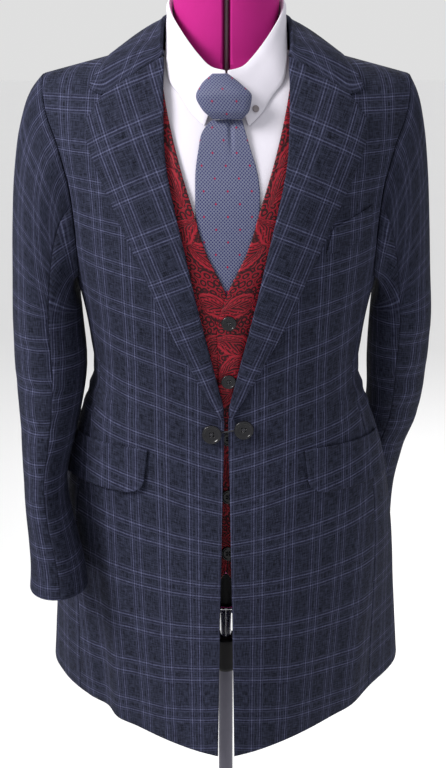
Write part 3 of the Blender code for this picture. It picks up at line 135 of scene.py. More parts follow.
# Sleeves: centre, half width and half depth of each ring, from the upper arm to the cuff. The
# wearer's right hangs in front of the skirt and the left goes behind the hip.
RIGHT_SLEEVE = {
    "z": (1.200, 1.130, 1.070, 1.020, 0.980, 0.940, 0.905, 0.870, 0.840, 0.815),
    "x": (0.2110, 0.2095, 0.2070, 0.2085, 0.2120, 0.2150, 0.2120, 0.2060, 0.2015, 0.2000),
    "y": (-0.004, -0.014, -0.022, -0.034, -0.044, -0.054, -0.062, -0.070, -0.077, -0.084),
    "half_width": (0.0365, 0.0405, 0.0420, 0.0360, 0.0300, 0.0250, 0.0260, 0.0290, 0.0320, 0.0345),
    "half_depth": (0.0640, 0.0600, 0.0560, 0.0530, 0.0520, 0.0510, 0.0490, 0.0470, 0.0450, 0.0430),
}
LEFT_SLEEVE = {
    "z": (1.200, 1.130, 1.070, 1.020, 0.980, 0.940, 0.905, 0.870, 0.840, 0.800),
    "x": (0.2060, 0.2080, 0.2090, 0.2110, 0.2100, 0.2030, 0.1990, 0.1960, 0.1950, 0.1950),
    "y": (0.002, 0.008, 0.026, 0.048, 0.072, 0.096, 0.117, 0.134, 0.146, 0.158),
    "half_width": (0.0350, 0.0360, 0.0365, 0.0345, 0.0340, 0.0330, 0.0330, 0.0330, 0.0335, 0.0345),
    "half_depth": (0.0600, 0.0540, 0.0480, 0.0420, 0.0390, 0.0390, 0.0400, 0.0400, 0.0400, 0.0400),
}

# The dress form: rings of half width and depth in front and behind, bottom to neck.
FORM_RINGS = {
    "z": (0.815, 0.822, 0.860, 0.920, 1.000, 1.070, 1.130, 1.190, 1.250, 1.300, 1.350,
          1.380, 1.397, 1.409, 1.421, 1.434, 1.483, 1.545, 1.553),
    "half_width": (0.110, 0.120, 0.138, 0.146, 0.142, 0.139, 0.1445, 0.155, 0.162, 0.167, 0.166,
                   0.158, 0.128, 0.091, 0.066, 0.0588, 0.0585, 0.0560, 0.050),
    "front": (0.056, 0.064, 0.078, 0.090, 0.097, 0.1050, 0.1175, 0.125, 0.1265, 0.117, 0.095,
              0.070, 0.053, 0.046, 0.045, 0.046, 0.0480, 0.0470, 0.042),
    "back": (0.068, 0.078, 0.098, 0.098, 0.082, 0.076, 0.0850, 0.096, 0.102, 0.099, 0.085,
             0.066, 0.051, 0.044, 0.042, 0.043, 0.0450, 0.0450, 0.040),
}


def table(rows: dict, column: str, at: float) -> float:
    """Reads a column of a table at a height, with a smooth curve that doesn't overshoot.

    Args:
        rows: Columns of numbers, one of them the heights "z".
        column: The column to read.
        at: The height.

    Returns:
        The value there.
    """
    xs, ys = np.array(rows["z"]), np.array(rows[column], dtype=float)
    if xs[0] > xs[-1]:
        xs, ys = xs[::-1], ys[::-1]
    steps = np.diff(ys) / np.diff(xs)
    slopes = np.zeros_like(ys)
    slopes[0], slopes[-1] = steps[0], steps[-1]
    same = steps[:-1] * steps[1:] > 0
    slopes[1:-1][same] = 2 * (steps[:-1] * steps[1:])[same] / (steps[:-1] + steps[1:])[same]
    at = float(np.clip(at, xs[0], xs[-1]))
    i = int(np.clip(np.searchsorted(xs, at) - 1, 0, len(xs) - 2))
    span = xs[i + 1] - xs[i]
    t = (at - xs[i]) / span
    return (
        ys[i] * (1 + 2 * t) * (1 - t) ** 2
        + ys[i + 1] * t * t * (3 - 2 * t)
        + slopes[i] * span * t * (1 - t) ** 2
        - slopes[i + 1] * span * t * t * (1 - t)
    )


def lerp(a: float, b: float, t: float) -> float:
    """The value a share t of the way from a to b."""
    return a + (b - a) * t


def smooth(t: float) -> float:
    """A soft step from 0 to 1."""
    t = min(1.0, max(0.0, t))
    return t * t * (3 - 2 * t)


def shoulder_z(x: float) -> float:
    """The height of the shoulder line above x."""
    return SHOULDER_TIP_Z + (SHOULDER_TIP_X - abs(x)) * SHOULDER_SLOPE


class Surface:
    """The coat's outer surface on the wearer's left, where x is 0 or more.

    A place on it is (u, z): u is 0 at the centre front, 0.5 at the widest line and 1 at the
    centre back.
    """

    samples = np.linspace(0.0, 1.0, 161)

    def __init__(self) -> None:
        """Starts with no sections worked out."""
        self.known: dict[float, dict] = {}

    def section(self, z: float) -> dict:
        """The plan curve's numbers at a height, worked out once.

        Args:
            z: The height.

        Returns:
            The table's values there, and the arc length and x along the curve.
        """
        key = round(z, 5)
        if key not in self.known:
            row = {name: table(SECTIONS, name, z) for name in SECTIONS if name != "z"}
            points = np.array([self.plan(row, u, z)[:2] for u in self.samples])
            lengths = np.hypot(*np.diff(points, axis=0).T)
            row["arc"] = np.concatenate(([0.0], np.cumsum(lengths)))
            row["front_x"] = points[:81, 0]
            row["back_x"] = points[80:, 0]
            self.known[key] = row
        return self.known[key]

    def plan(self, row: dict, u: float, z: float) -> tuple[float, float, float]:
        """A point of the plan curve, rounded over towards the shoulder line.

        Args:
            row: The section's numbers.
            u: How far round.
            z: The height.

        Returns:
            The point.
        """
        front = u <= 0.5
        angle = math.pi * u
        power = row["front_power"] if front else BACK_POWER
        x = row["half_width"] * max(0.0, math.sin(angle)) ** (2 / power)
        along = abs(math.cos(angle)) ** (2 / power)
        below = shoulder_z(x) - z
        if below < SHOULDER_SNAP:
            return x, row["widest_y"] + (-SEAM_GAP if front else SEAM_GAP) / 2, z
        drop = min(1.0, below / SHOULDER_ROUND)
        round_over = (1 - (1 - drop) ** SHOULDER_POWER) ** (1 / SHOULDER_POWER)
        if front:
            return x, row["widest_y"] - (row["front_y"] * round_over + row["widest_y"]) * along, z
        return x, row["widest_y"] + (row["back_y"] * round_over - row["widest_y"]) * along, z

    def at(self, u: float, z: float) -> Vector:
        """The point at a place, also a little past both centres."""
        side = -1 if u < 0 or u > 1 else 1
        x, y, z = self.plan(self.section(z), 1 - abs(1 - abs(u)), z)
        return Vector((side * x, y, z))

    def u_of_x(self, x: float, z: float, behind: bool = False) -> float:
        """How far round a given x is, in front or behind."""
        row = self.section(z)
        if behind:
            return float(np.interp(-x, -row["back_x"], self.samples[80:]))
        return math.copysign(float(np.interp(abs(x), row["front_x"], self.samples[:81])), x)

    def arc_of_u(self, u: float, z: float) -> float:
        """The length along the cloth from the centre front."""
        return math.copysign(float(np.interp(abs(u), self.samples, self.section(z)["arc"])), u)

    def u_of_arc(self, arc: float, z: float) -> float:
        """The reverse of arc_of_u."""
        return math.copysign(float(np.interp(abs(arc), self.section(z)["arc"], self.samples)), arc)

    def u_of_share(self, share: float, z: float) -> float:
        """How far round a share of the half girth is."""
        return self.u_of_arc(share * self.section(z)["arc"][-1], z)

    def normal(self, u: float, z: float) -> Vector:
        """The outward normal, level in x at the two centres and up along the shoulder line.

        Args:
            u: How far round.
            z: The height.

        Returns:
            The unit normal.
        """
        if u < 0:
            mirror = self.normal(-u, z)
            return Vector((-mirror.x, mirror.y, mirror.z))
        here = self.at(u, z)
        step_u, step_z = 0.006, 0.0015
        room = shoulder_z(here.x) - z
        top = z + step_z if room > 2 * step_z else z - step_z * 0.2
        across = self.at(u + step_u, z) - self.at(u - step_u, z)
        up = self.at(u, top) - self.at(u, top - 2 * step_z)
        normal = across.cross(up)
        if normal.length < 1e-12:
            normal = Vector((0.0, -1.0 if u < 0.5 else 1.0, 0.0))
        normal.normalize()
        if abs(here.x) < 0.004:
            normal.x = 0.0
        tilt = Vector((SHOULDER_SLOPE, 0.0, 1.0)).normalized()
        share = smooth(1 - room / 0.006)
        return (normal * (1 - share) + tilt * share).normalized()

    def point(self, u: float, z: float, off: float = 0.0) -> Vector:
        """A place on the surface, moved out along its normal."""
        return self.at(u, z) + self.normal(u, z) * off


BODY = Surface()


def front_place(x: float, z: float) -> Place:
    """The place on the front with a given x."""
    return BODY.u_of_x(x, z), z


def back_place(x: float, z: float) -> Place:
    """The place on the back with a given x."""
    return BODY.u_of_x(x, z, behind=True), z


def seam_place(seam: str, z: float, gap: float = 0.0) -> Place:
    """A place on a side seam, moved along the girth by a gap."""
    share = table(SEAMS, seam, z)
    return BODY.u_of_arc(share * BODY.section(z)["arc"][-1] + gap, z), z


def row_between(start: Place, end: Place, count: int) -> list[Place]:
    """Places from one to another, evenly spaced along the girth.

    Args:
        start: The first place.
        end: The last place.
        count: How many steps.

    Returns:
        The places, one more than the steps.
    """
    (u0, z0), (u1, z1) = start, end
    arc0, arc1 = BODY.arc_of_u(u0, z0), BODY.arc_of_u(u1, z1)
    places = []
    for i in range(count + 1):
        z = lerp(z0, z1, i / count)
        places.append((BODY.u_of_arc(lerp(arc0, arc1, i / count), z), z))
    places[0], places[-1] = start, end
    return places


def lay(places: Places, off: float | Callable[..., float]) -> Rows:
    """Points of a grid of places at an offset that may change over it.

    Args:
        places: The grid.
        off: The offset, or a function of row, column, u and z.

    Returns:
        The points.
    """
    return [
        [BODY.point(u, z, off(i, j, u, z) if callable(off) else off) for j, (u, z) in enumerate(row)]
        for i, row in enumerate(places)
    ]


def rows_below_shoulder(
    top: list[Place], low: list[Place], shares: Sequence[float], place: Callable, bow: float = 0.0
) -> Places:
    """Rows between the shoulder's and a lower one, close together where the cloth rounds over.

    Args:
        top: The row on the shoulder.
        low: The lower row.
        shares: How far down each new row is.
        place: front_place or back_place.
        bow: How far the rows stand out at the armhole.

    Returns:
        The new rows.
    """
    rows = []
    for share in shares:
        line = []
        for j, (high, under) in enumerate(zip(top, low)):
            out = bow * math.sin(math.pi * share) * (j / (len(top) - 1)) ** 2
            x = lerp(BODY.at(*high).x, BODY.at(*under).x, share) + out
            line.append(place(x, lerp(high[1], under[1], share)))
        rows.append(line)
    return rows


def grid_normals(grid: Rows, closed: bool, outward: Callable[[int, int], Vector]) -> Rows:
    """Unit normals of a grid of points, all turned to one side.

    Args:
        grid: The points.
        closed: Whether the last column joins the first.
        outward: Gives a direction on the wanted side.

    Returns:
        The normals.
    """
    rows, cols = len(grid), len(grid[0])
    normals = []
    for i in range(rows):
        line = []
        for j in range(cols):
            down = grid[min(rows - 1, i + 1)][j] - grid[max(0, i - 1)][j]
            if closed:
                across = grid[i][(j + 1) % cols] - grid[i][(j - 1) % cols]
            else:
                across = grid[i][min(cols - 1, j + 1)] - grid[i][max(0, j - 1)]
            normal = down.cross(across)
            if normal.length < 1e-12:
                normal = outward(i, j)
            normal.normalize()
            line.append(-normal if normal.dot(outward(i, j)) < 0 else normal)
        normals.append(line)
    return normals


def moved(grid: Rows, normals: Rows, distance: float) -> Rows:
    """The grid moved along its normals."""
    return [[p + n * distance for p, n in zip(row, line)] for row, line in zip(grid, normals)]


def mirrored(grid: Rows) -> Rows:
    """The grid on the other side of the centre plane."""
    return [[on_side(p, -1) for p in row] for row in grid]


# Fine grids are arrays of rows x columns x (x, y, z, along, across), the last two in metres.


def spline(grid: np.ndarray, steps: int, closed: bool = False) -> np.ndarray:
    """Smooth curves down the columns of a grid, through all its points.

    Args:
        grid: Rows, columns, and x, y, z with anything that goes with them.
        steps: How many steps each span gets.
        closed: Whether the last row joins the first, which the result leaves out again.

    Returns:
        The finer grid.
    """
    ends = [grid[-1:], grid, grid[:2]] if closed else [grid]
    points = np.concatenate(ends)
    spans = np.maximum(np.linalg.norm(np.diff(points[..., :3], axis=0), axis=-1), 1e-6)[..., None]
    slopes = np.diff(points, axis=0) / spans
    inner = (slopes[1:] * spans[:-1] + slopes[:-1] * spans[1:]) / (spans[1:] + spans[:-1])
    first, last = 1.5 * slopes[:1] - 0.5 * inner[:1], 1.5 * slopes[-1:] - 0.5 * inner[-1:]
    tangents = np.concatenate([first, inner, last])
    out = []
    low, high = (1, len(points) - 2) if closed else (0, len(points) - 1)
    for i in range(low, high):
        for k in range(steps):
            t = k / steps
            out.append(
                points[i] * (1 + 2 * t) * (1 - t) ** 2
                + points[i + 1] * t * t * (3 - 2 * t)
                + tangents[i] * spans[i] * t * (1 - t) ** 2
                - tangents[i + 1] * spans[i] * t * t * (1 - t)
            )
    if not closed:
        out.append(points[-1])
    return np.array(out)


def refined(grid: np.ndarray, rows: int, cols: int, closed: bool = False) -> np.ndarray:
    """A finer grid: each span of its rows and of its columns gets that many steps."""
    fine = spline(grid, rows)
    return spline(fine.swapaxes(0, 1), cols, closed).swapaxes(0, 1)


def array_of(rows: Rows, along: list | None = None, across: list | None = None) -> np.ndarray:
    """A grid of points as an array, with two more numbers for each, or zeros."""
    points = np.array([[tuple(p) for p in row] for row in rows])
    extra = [np.zeros(points.shape[:2]) if e is None else np.array(e) for e in (along, across)]
    return np.concatenate([points, np.stack(extra, -1)], -1)


def distances(grid: np.ndarray, axis: int) -> np.ndarray:
    """How far each point is along its row or column from the first one."""
    steps = np.linalg.norm(np.diff(grid[..., :3], axis=axis), axis=-1)
    zero = np.zeros_like(np.take(steps, [0], axis=axis))
    return np.concatenate([zero, np.cumsum(steps, axis=axis)], axis=axis)


def measured(grid: np.ndarray, column: int) -> np.ndarray:
    """Fills in the UV: across from a column, and down that column from the first row.

    Args:
        grid: The fine grid.
        column: Where across is 0.

    Returns:
        The same grid.
    """
    across = distances(grid, 1)
    down = distances(grid, 0)[:, column]
    grid[..., 3] = across - across[:, column : column + 1]
    grid[..., 4] = -down[:, None]
    return grid


def normals_of(grid: np.ndarray, inner: np.ndarray) -> np.ndarray:
    """Unit normals of a fine grid, pointing from the inner points to the outer ones."""
    points = grid[..., :3]
    down = np.gradient(points, axis=0)
    across = np.gradient(points, axis=1)
    normal = np.cross(down, across)
    normal /= np.maximum(np.linalg.norm(normal, axis=-1, keepdims=True), 1e-12)
    side = np.sign(np.sum(normal * (points - inner[..., :3]), axis=-1, keepdims=True))
    return normal * np.where(side == 0, 1, side)


def beside_edges(grid: np.ndarray, margin: float) -> np.ndarray:
    """Adds a row or column close inside each edge, at a margin from it."""
    for axis in (0, 1):
        lines = np.moveaxis(grid, axis, 0)
        for _ in range(2):
            gap = np.linalg.norm(lines[1, :, :3] - lines[0, :, :3], axis=-1)[:, None]
            share = np.minimum(0.5, margin / np.maximum(gap, 1e-9))
            extra = lines[:1] + (lines[1:2] - lines[:1]) * share[None]
            lines = np.concatenate([lines[:1], extra, lines[1:]])[::-1]
        grid = np.moveaxis(lines, 0, axis)
    return grid


@dataclass(frozen=True)
class Edge:
    """How a wall's edge is rounded: how far in it starts, and how much it drops on each face."""

    margin: float = 0.0015
    drop: float = 0.0006


def edged(outer: np.ndarray, inner: np.ndarray, edge: Edge) -> tuple[np.ndarray, np.ndarray]:
    """Rounds the edges of a wall, so that seams and free edges catch the light.

    Args:
        outer: The outer fine grid.
        inner: The inner fine grid.
        edge: The rounding.

    Returns:
        Both grids with their edges drawn together.
    """
    outer, inner = beside_edges(outer, edge.margin), beside_edges(inner, edge.margin)
    rim = np.zeros(outer.shape[:2], bool)
    rim[[0, -1], :] = True
    rim[:, [0, -1]] = True
    toward = inner[..., :3] - outer[..., :3]
    toward /= np.maximum(np.linalg.norm(toward, axis=-1, keepdims=True), 1e-9)
    outer, inner = outer.copy(), inner.copy()
    outer[rim, :3] += toward[rim] * edge.drop
    inner[rim, :3] -= toward[rim] * edge.drop
    return outer, inner


def mesh_of(name: str, bm: bmesh.types.BMesh) -> bpy.types.Mesh:
    """A plain mesh of a bmesh, which is freed."""
    mesh = bpy.data.meshes.new(name)
    bm.to_mesh(mesh)
    bm.free()
    return mesh


def placed(name: str, data: bpy.types.ID) -> bpy.types.Object:
    """A new object of the scene with that mesh, light or camera."""
    obj = bpy.data.objects.new(name, data)
    bpy.context.scene.collection.objects.link(obj)
    return obj


def add_mesh(name: str, bm: bmesh.types.BMesh, *materials: bpy.types.Material) -> bpy.types.Object:
    """Turns a bmesh into a smooth-shaded object at the origin.

    Args:
        name: The object's name.
        bm: The mesh, which is freed.
        materials: Its material slots.

    Returns:
        The object.
    """
    mesh = mesh_of(name, bm)
    mesh.polygons.foreach_set("use_smooth", [True] * len(mesh.polygons))
    for material in materials:
        mesh.materials.append(material)
    return placed(name, mesh)


def face_outwards(bm: bmesh.types.BMesh) -> None:
    """Turns all faces of a closed mesh outwards."""
    bmesh.ops.recalc_face_normals(bm, faces=bm.faces)
    if bm.calc_volume(signed=True) < 0:
        bmesh.ops.reverse_faces(bm, faces=bm.faces)


def aimed(bm: bmesh.types.BMesh, centre: Vector, facing: Vector) -> None:
    """Turns a mesh that looks up to look along a direction, and moves it to a place."""
    turn = Vector((0, 0, 1)).rotation_difference(facing).to_matrix()
    for vert in bm.verts:
        vert.co = centre + turn @ vert.co


def wall(name: str, outer: np.ndarray, inner: np.ndarray, material: bpy.types.Material) -> bpy.types.Object:
    """A closed wall of cloth between two fine grids, with its UV map.

    Args:
        name: The piece's name.
        outer: The outer grid, which has the UV.
        inner: The inner grid.
        material: Its cloth.

    Returns:
        The object.
    """
    bm = bmesh.new()
    uv = bm.loops.layers.uv.new("cloth")
    rows, cols = outer.shape[:2]
    sheets = [[[bm.verts.new(p[:3]) for p in row] for row in grid] for grid in (outer, inner)]

    def face(corners: list[tuple[int, int, int]]) -> None:
        """A face from (sheet, row, column) corners, its UV from the outer grid."""
        made = bm.faces.new([sheets[s][i][j] for s, i, j in corners])
        for loop, (_, i, j) in zip(made.loops, corners):
            loop[uv].uv = outer[i, j, 3:5]

    for i in range(rows - 1):
        for j in range(cols - 1):
            face([(0, i, j), (0, i, j + 1), (0, i + 1, j + 1), (0, i + 1, j)])
            face([(1, i, j), (1, i + 1, j), (1, i + 1, j + 1), (1, i, j + 1)])
    for i in (0, rows - 1):
        for j in range(cols - 1):
            face([(0, i, j), (1, i, j), (1, i, j + 1), (0, i, j + 1)])
    for j in (0, cols - 1):
        for i in range(rows - 1):
            face([(0, i, j), (0, i + 1, j), (1, i + 1, j), (1, i, j)])
    face_outwards(bm)
    return add_mesh(name, bm, material)


def turned(profile: Sequence[tuple[float, float]], steps: int) -> bmesh.types.BMesh:
    """A turned solid from a closed profile of (radius, height).

    Args:
        profile: The profile; one that starts off the axis is a ring.
        steps: How many sides.

    Returns:
        The mesh.
    """
    bm = bmesh.new()
    rings = []
    for radius, z in profile:
        turns = [2 * math.pi * k / steps for k in range(steps)] if radius > 1e-9 else [0.0]
        rings.append([bm.verts.new((radius * math.cos(t), radius * math.sin(t), z)) for t in turns])
    following = rings[1:] + ([rings[0]] if profile[0][0] > 0 else [])
    for high, low in zip(rings, following):
        for k in range(steps):
            n = (k + 1) % steps
            corners = (high[k % len(high)], high[n % len(high)], low[n % len(low)], low[k % len(low)])
            bm.faces.new(list(dict.fromkeys(corners)))
    face_outwards(bm)
    return bm


def rounded(profile: Sequence[tuple[float, float]], radius: float = 0.0006) -> list[tuple[float, float]]:
    """A profile with its corners cut twice, so that edges catch the light.

    Args:
        profile: Corners of (radius, height).
        radius: How far from a corner the cuts start.

    Returns:
        The finer profile.
    """
    points = [Vector((r, z)) for r, z in profile]
    out = [points[0]]
    for before, here, after in zip(points, points[1:], points[2:]):
        back, on = before - here, after - here
        reach = min(radius, back.length * 0.45, on.length * 0.45)
        start, end = here + back.normalized() * reach, here + on.normalized() * reach
        out += [start, (start + end) * 0.25 + here * 0.5, end]
    out.append(points[-1])
    return [(p.x, p.y) for p in out]


def side_name(side: int) -> str:
    """The wearer's side."""
    return "left" if side > 0 else "right"


def on_side(p: Vector, side: int) -> Vector:
    """A point or direction on the wearer's left (1) or right (-1)."""
    return Vector((p.x * side, p.y, p.z))


def pushed(
    outer: np.ndarray, inner: np.ndarray, move: np.ndarray
) -> tuple[np.ndarray, np.ndarray]:
    """Both grids of a wall, moved together along the outer one's normals."""
    normal = normals_of(outer, inner)
    outer, inner = outer.copy(), inner.copy()
    outer[..., :3] += normal * move[..., None]
    inner[..., :3] += normal * move[..., None]
    return outer, inner


def bell(distance: np.ndarray, width: float) -> np.ndarray:
    """A soft bump: 1 where the distance is 0, fading over a width."""
    return np.exp(-((distance / width) ** 2))


def sided(grid: np.ndarray, side: int) -> np.ndarray:
    """The fine grid on the wearer's left (1) or right (-1)."""
    out = grid.copy()
    out[..., 0] *= side
    return out


class Graph:
    """A short way to wire shader nodes in one tree."""

    def __init__(self, tree: bpy.types.NodeTree) -> None:
        """Keeps the tree."""
        self.tree = tree

    def feed(self, socket: bpy.types.NodeSocket, value: object) -> None:
        """Links a socket to another, or sets its plain value."""
        if isinstance(value, bpy.types.NodeSocket):
            self.tree.links.new(value, socket)
        else:
            socket.default_value = value

    def add(self, kind: str, inputs: dict | None = None, **settings: object) -> bpy.types.Node:
        """A new shader node.

        Args:
            kind: Its type, without ShaderNode.
            inputs: What its inputs get, by name or number.
            settings: Its own settings.

        Returns:
            The node.
        """
        node = self.tree.nodes.new("ShaderNode" + kind)
        for key, value in settings.items():
            setattr(node, key, value)
        for key, value in (inputs or {}).items():
            self.feed(node.inputs[key], value)
        return node

    def math(self, operation: str, *values: object) -> bpy.types.NodeSocket:
        """One step of arithmetic."""
        node = self.add("Math", operation=operation)
        for socket, value in zip(node.inputs, values):
            self.feed(socket, value)
        return node.outputs[0]

    def apart(self, a: object, b: object) -> bpy.types.NodeSocket:
        """How far apart two numbers are."""
        return self.math("ABSOLUTE", self.math("SUBTRACT", a, b))

    def vector(self, operation: str, a: object, b: dict) -> bpy.types.NodeSocket:
        """One step of vector arithmetic, whose other input is named or numbered."""
        return self.add("VectorMath", {0: a, **b}, operation=operation).outputs[0]

    def chain(self, start: object, *steps: tuple) -> bpy.types.NodeSocket:
        """Several steps of arithmetic, each (operation, value) on the last result."""
        for operation, *values in steps:
            start = self.math(operation, start, *values)
        return start

    def mix(self, factor: object, a: object, b: object, blend: str = "MIX") -> bpy.types.NodeSocket:
        """A mix of two colours."""
        node = self.add("Mix", data_type="RGBA", blend_type=blend)
        for number, value in ((0, factor), (6, a), (7, b)):
            self.feed(node.inputs[number], value)
        return node.outputs[2]

    def fade(self, value: object, start: float, end: float) -> bpy.types.NodeSocket:
        """1 up to a start and 0 past an end, or the reverse if the start is higher."""
        low, high = (1.0, 0.0) if start < end else (0.0, 1.0)
        inputs = {0: value, 1: min(start, end), 2: max(start, end), 3: low, 4: high}
        return self.add("MapRange", inputs, interpolation_type="SMOOTHSTEP").outputs[0]

    def noise(self, vector: object, scale: float, detail: float = 2.0) -> bpy.types.NodeSocket:
        """Even noise from 0 to 1."""
        inputs = {"Vector": vector, "Scale": scale, "Detail": detail}
        return self.add("TexNoise", inputs).outputs[0]

    def parts(self, vector: object) -> tuple[bpy.types.NodeSocket, ...]:
        """The x, y and z of a vector."""
        return tuple(self.add("SeparateXYZ", {0: vector}).outputs)

    def joined(self, x: object, y: object) -> bpy.types.NodeSocket:
        """A vector of x and y."""
        return self.add("CombineXYZ", {0: x, 1: y}).outputs[0]


def group(
    name: str, inputs: dict[str, object], outputs: Sequence[str], fill: Callable
) -> bpy.types.NodeTree:
    """A shader node group, built once.

    Args:
        name: Its name.
        inputs: Its inputs and their values; None stands for a vector.
        outputs: Its number outputs.
        fill: Wires it, given the graph and the inputs' sockets, and returns the outputs' sockets.

    Returns:
        The group's tree.
    """
    found = bpy.data.node_groups.get(name)
    if found:
        return found
    tree = bpy.data.node_groups.new(name, "ShaderNodeTree")
    for key, value in inputs.items():
        kind = "NodeSocketVector" if value is None else "NodeSocketFloat"
        socket = tree.interface.new_socket(key, in_out="INPUT", socket_type=kind)
        if value is not None:
            socket.default_value = value
    for key in outputs:
        tree.interface.new_socket(key, in_out="OUTPUT", socket_type="NodeSocketFloat")
    start, end = tree.nodes.new("NodeGroupInput"), tree.nodes.new("NodeGroupOutput")
    results = fill(Graph(tree), {key: start.outputs[key] for key in inputs})
    for key, result in zip(outputs, results):
        tree.links.new(result, end.inputs[key])
    return tree


def periodic(graph: Graph, value: object, period: object, offset: object) -> bpy.types.NodeSocket:
    """The distance to the nearest of evenly spaced lines."""
    moved_on = graph.math("SUBTRACT", value, offset)
    share = graph.chain(moved_on, ("DIVIDE", period), ("ADD", 0.5), ("FRACT",), ("SUBTRACT", 0.5))
    return graph.math("MULTIPLY", graph.math("ABSOLUTE", share), period)


def fill_weave(graph: Graph, sockets: dict) -> list:
    """Twill or plain weave: raised threads on the slant, with thicker places here and there."""
    x, y, _ = graph.parts(sockets["Vector"])
    slant = graph.math("ADD", x, graph.math("MULTIPLY", y, sockets["Slant"]))
    turns = graph.math("DIVIDE", math.tau, sockets["Pitch"])
    ribs, across = (graph.chain(v, ("MULTIPLY", turns), ("SINE",)) for v in (slant, x))
    threads = graph.math("MULTIPLY_ADD", graph.math("MULTIPLY", ribs, across), 0.35, 0.5)
    warp = graph.joined(graph.math("MULTIPLY", x, 900.0), graph.math("MULTIPLY", y, 110.0))
    weft = graph.joined(graph.math("MULTIPLY", x, 110.0), graph.math("MULTIPLY", y, 900.0))
    slub = graph.math("ADD", graph.noise(warp, 1.0, 1.0), graph.noise(weft, 1.0, 1.0))
    slub = graph.math("MULTIPLY", slub, 0.5)
    cloud = graph.noise(sockets["Vector"], 45.0, 3.0)
    return [graph.math("MULTIPLY_ADD", slub, 0.6, threads), slub, cloud]


def weave_group() -> bpy.types.NodeTree:
    """The weave that all cloths share."""
    inputs = {"Vector": None, "Pitch": 0.0009, "Slant": 1.0}
    return group("cloth_weave", inputs, ("Height", "Slub", "Cloud"), fill_weave)


def fill_pane(graph: Graph, sockets: dict) -> list:
    """Twin lines both ways, each with fainter companions and a dark one between."""
    x, y, _ = graph.parts(sockets["Vector"])
    wander = graph.chain(graph.noise(sockets["Vector"], 30.0, 2.0), ("SUBTRACT", 0.5), ("MULTIPLY", 0.0012))
    bright, faint, dark = [], [], []
    for value, period, pair, phase in (
        (x, "Width", "Width Pair", "Width Phase"),
        (y, "Length", "Length Pair", "Length Phase"),
    ):
        value = graph.math("ADD", value, wander)
        half = graph.math("MULTIPLY", sockets[pair], 0.5)
        from_pair = periodic(graph, value, sockets[period], sockets[phase])
        off = graph.apart(from_pair, half)
        bright.append(graph.fade(off, 0.0002, 0.0009))
        faint.append(graph.fade(graph.apart(off, 0.0030), 0.0002, 0.0009))
        dark.append(graph.fade(graph.apart(off, 0.0017), 0.0002, 0.0011))
    out = [graph.math("MAXIMUM", *pair) for pair in (bright, faint, dark)]
    return out + [graph.math("MULTIPLY", *bright)]


def pane_group() -> bpy.types.NodeTree:
    """The coat's twin windowpane."""
    inputs = {"Vector": None, "Width": 0.0370, "Width Pair": 0.0105, "Width Phase": 0.0,
              "Length": 0.0490, "Length Pair": 0.0135, "Length Phase": 0.0}
    return group("twin_windowpane", inputs, ("Bright", "Faint", "Dark", "Cross"), fill_pane)


def fill_paisley(graph: Graph, sockets: dict) -> list:
    """Bent teardrops turned every way, with rings inside them and curls between them."""
    where = sockets["Vector"]
    swirl = graph.add("TexNoise", {"Vector": where, "Scale": 70.0, "Detail": 1.0}).outputs[1]
    push = graph.vector("SUBTRACT", swirl, {1: (0.5, 0.5, 0.5)})
    push = graph.vector("SCALE", push, {"Scale": 0.006})
    bent = graph.vector("ADD", where, {1: push})
    scale = graph.math("DIVIDE", 1.0, sockets["Size"])
    cells = graph.vector("SCALE", bent, {"Scale": scale})
    drawn = {"Vector": cells, "Scale": 1.0, "Randomness": 0.55}
    cell = graph.add("TexVoronoi", drawn, voronoi_dimensions="2D")
    local = graph.vector("SUBTRACT", cells, {1: cell.outputs["Position"]})
    chance = graph.parts(cell.outputs["Color"])[0]
    turn = graph.math("MULTIPLY", chance, math.tau)
    local = graph.add("VectorRotate", {0: local, "Angle": turn}, rotation_type="Z_AXIS").outputs[0]
    x, y, _ = graph.parts(local)
    up = graph.chain(y, ("ADD", 0.36), ("DIVIDE", 0.88))
    up = graph.add("Clamp", {0: up, 1: 0.0, 2: 1.0}).outputs[0]
    bend = graph.chain(up, ("POWER", 2.5), ("MULTIPLY", 0.42))
    width = graph.math("MULTIPLY", graph.math("SQRT", up), graph.math("SUBTRACT", 1.02, up))
    width = graph.math("MAXIMUM", graph.math("MULTIPLY", width, 0.78), 0.001)
    ratio = graph.math("DIVIDE", graph.math("ABSOLUTE", graph.math("ADD", x, bend)), width)
    inside = graph.fade(ratio, 0.96, 1.04)
    outline = graph.fade(graph.apart(ratio, 1.0), 0.05, 0.16)
    edge = graph.fade(graph.apart(ratio, 1.34), 0.06, 0.16)
    inner = graph.fade(graph.apart(ratio, 0.58), 0.05, 0.12)
    beads = graph.chain(up, ("MULTIPLY", 60.0), ("SINE",), ("MULTIPLY_ADD", 0.5, 0.5))
    inner = graph.math("MULTIPLY", inner, beads)
    drawn = {"Vector": bent, "Scale": 125.0, "Randomness": 0.9}
    curls = graph.add("TexVoronoi", drawn, voronoi_dimensions="2D")
    rings = graph.chain(curls.outputs["Distance"], ("MULTIPLY", 15.0), ("SINE",))
    ground = graph.fade(rings, 0.35, -0.25)
    veins = graph.chain(ratio, ("MULTIPLY", 24.0), ("ADD", graph.math("MULTIPLY", up, 30.0)), ("SINE",))
    body = graph.fade(veins, 0.2, -0.5)
    red = graph.add("Mix", {0: inside, 2: ground, 3: body}, data_type="FLOAT").outputs[0]
    red = graph.math("MAXIMUM", red, graph.math("MAXIMUM", outline, inner))
    dark = graph.math("MULTIPLY", edge, graph.math("SUBTRACT", 1.0, inside))
    red = graph.math("MULTIPLY", red, graph.math("SUBTRACT", 1.0, graph.math("MULTIPLY", dark, 0.9)))
    return [red, graph.math("MAXIMUM", outline, inner)]


def paisley_group() -> bpy.types.NodeTree:
    """The vest's woven paisley."""
    return group("woven_paisley", {"Vector": None, "Size": 0.040}, ("Figure", "Line"), fill_paisley)


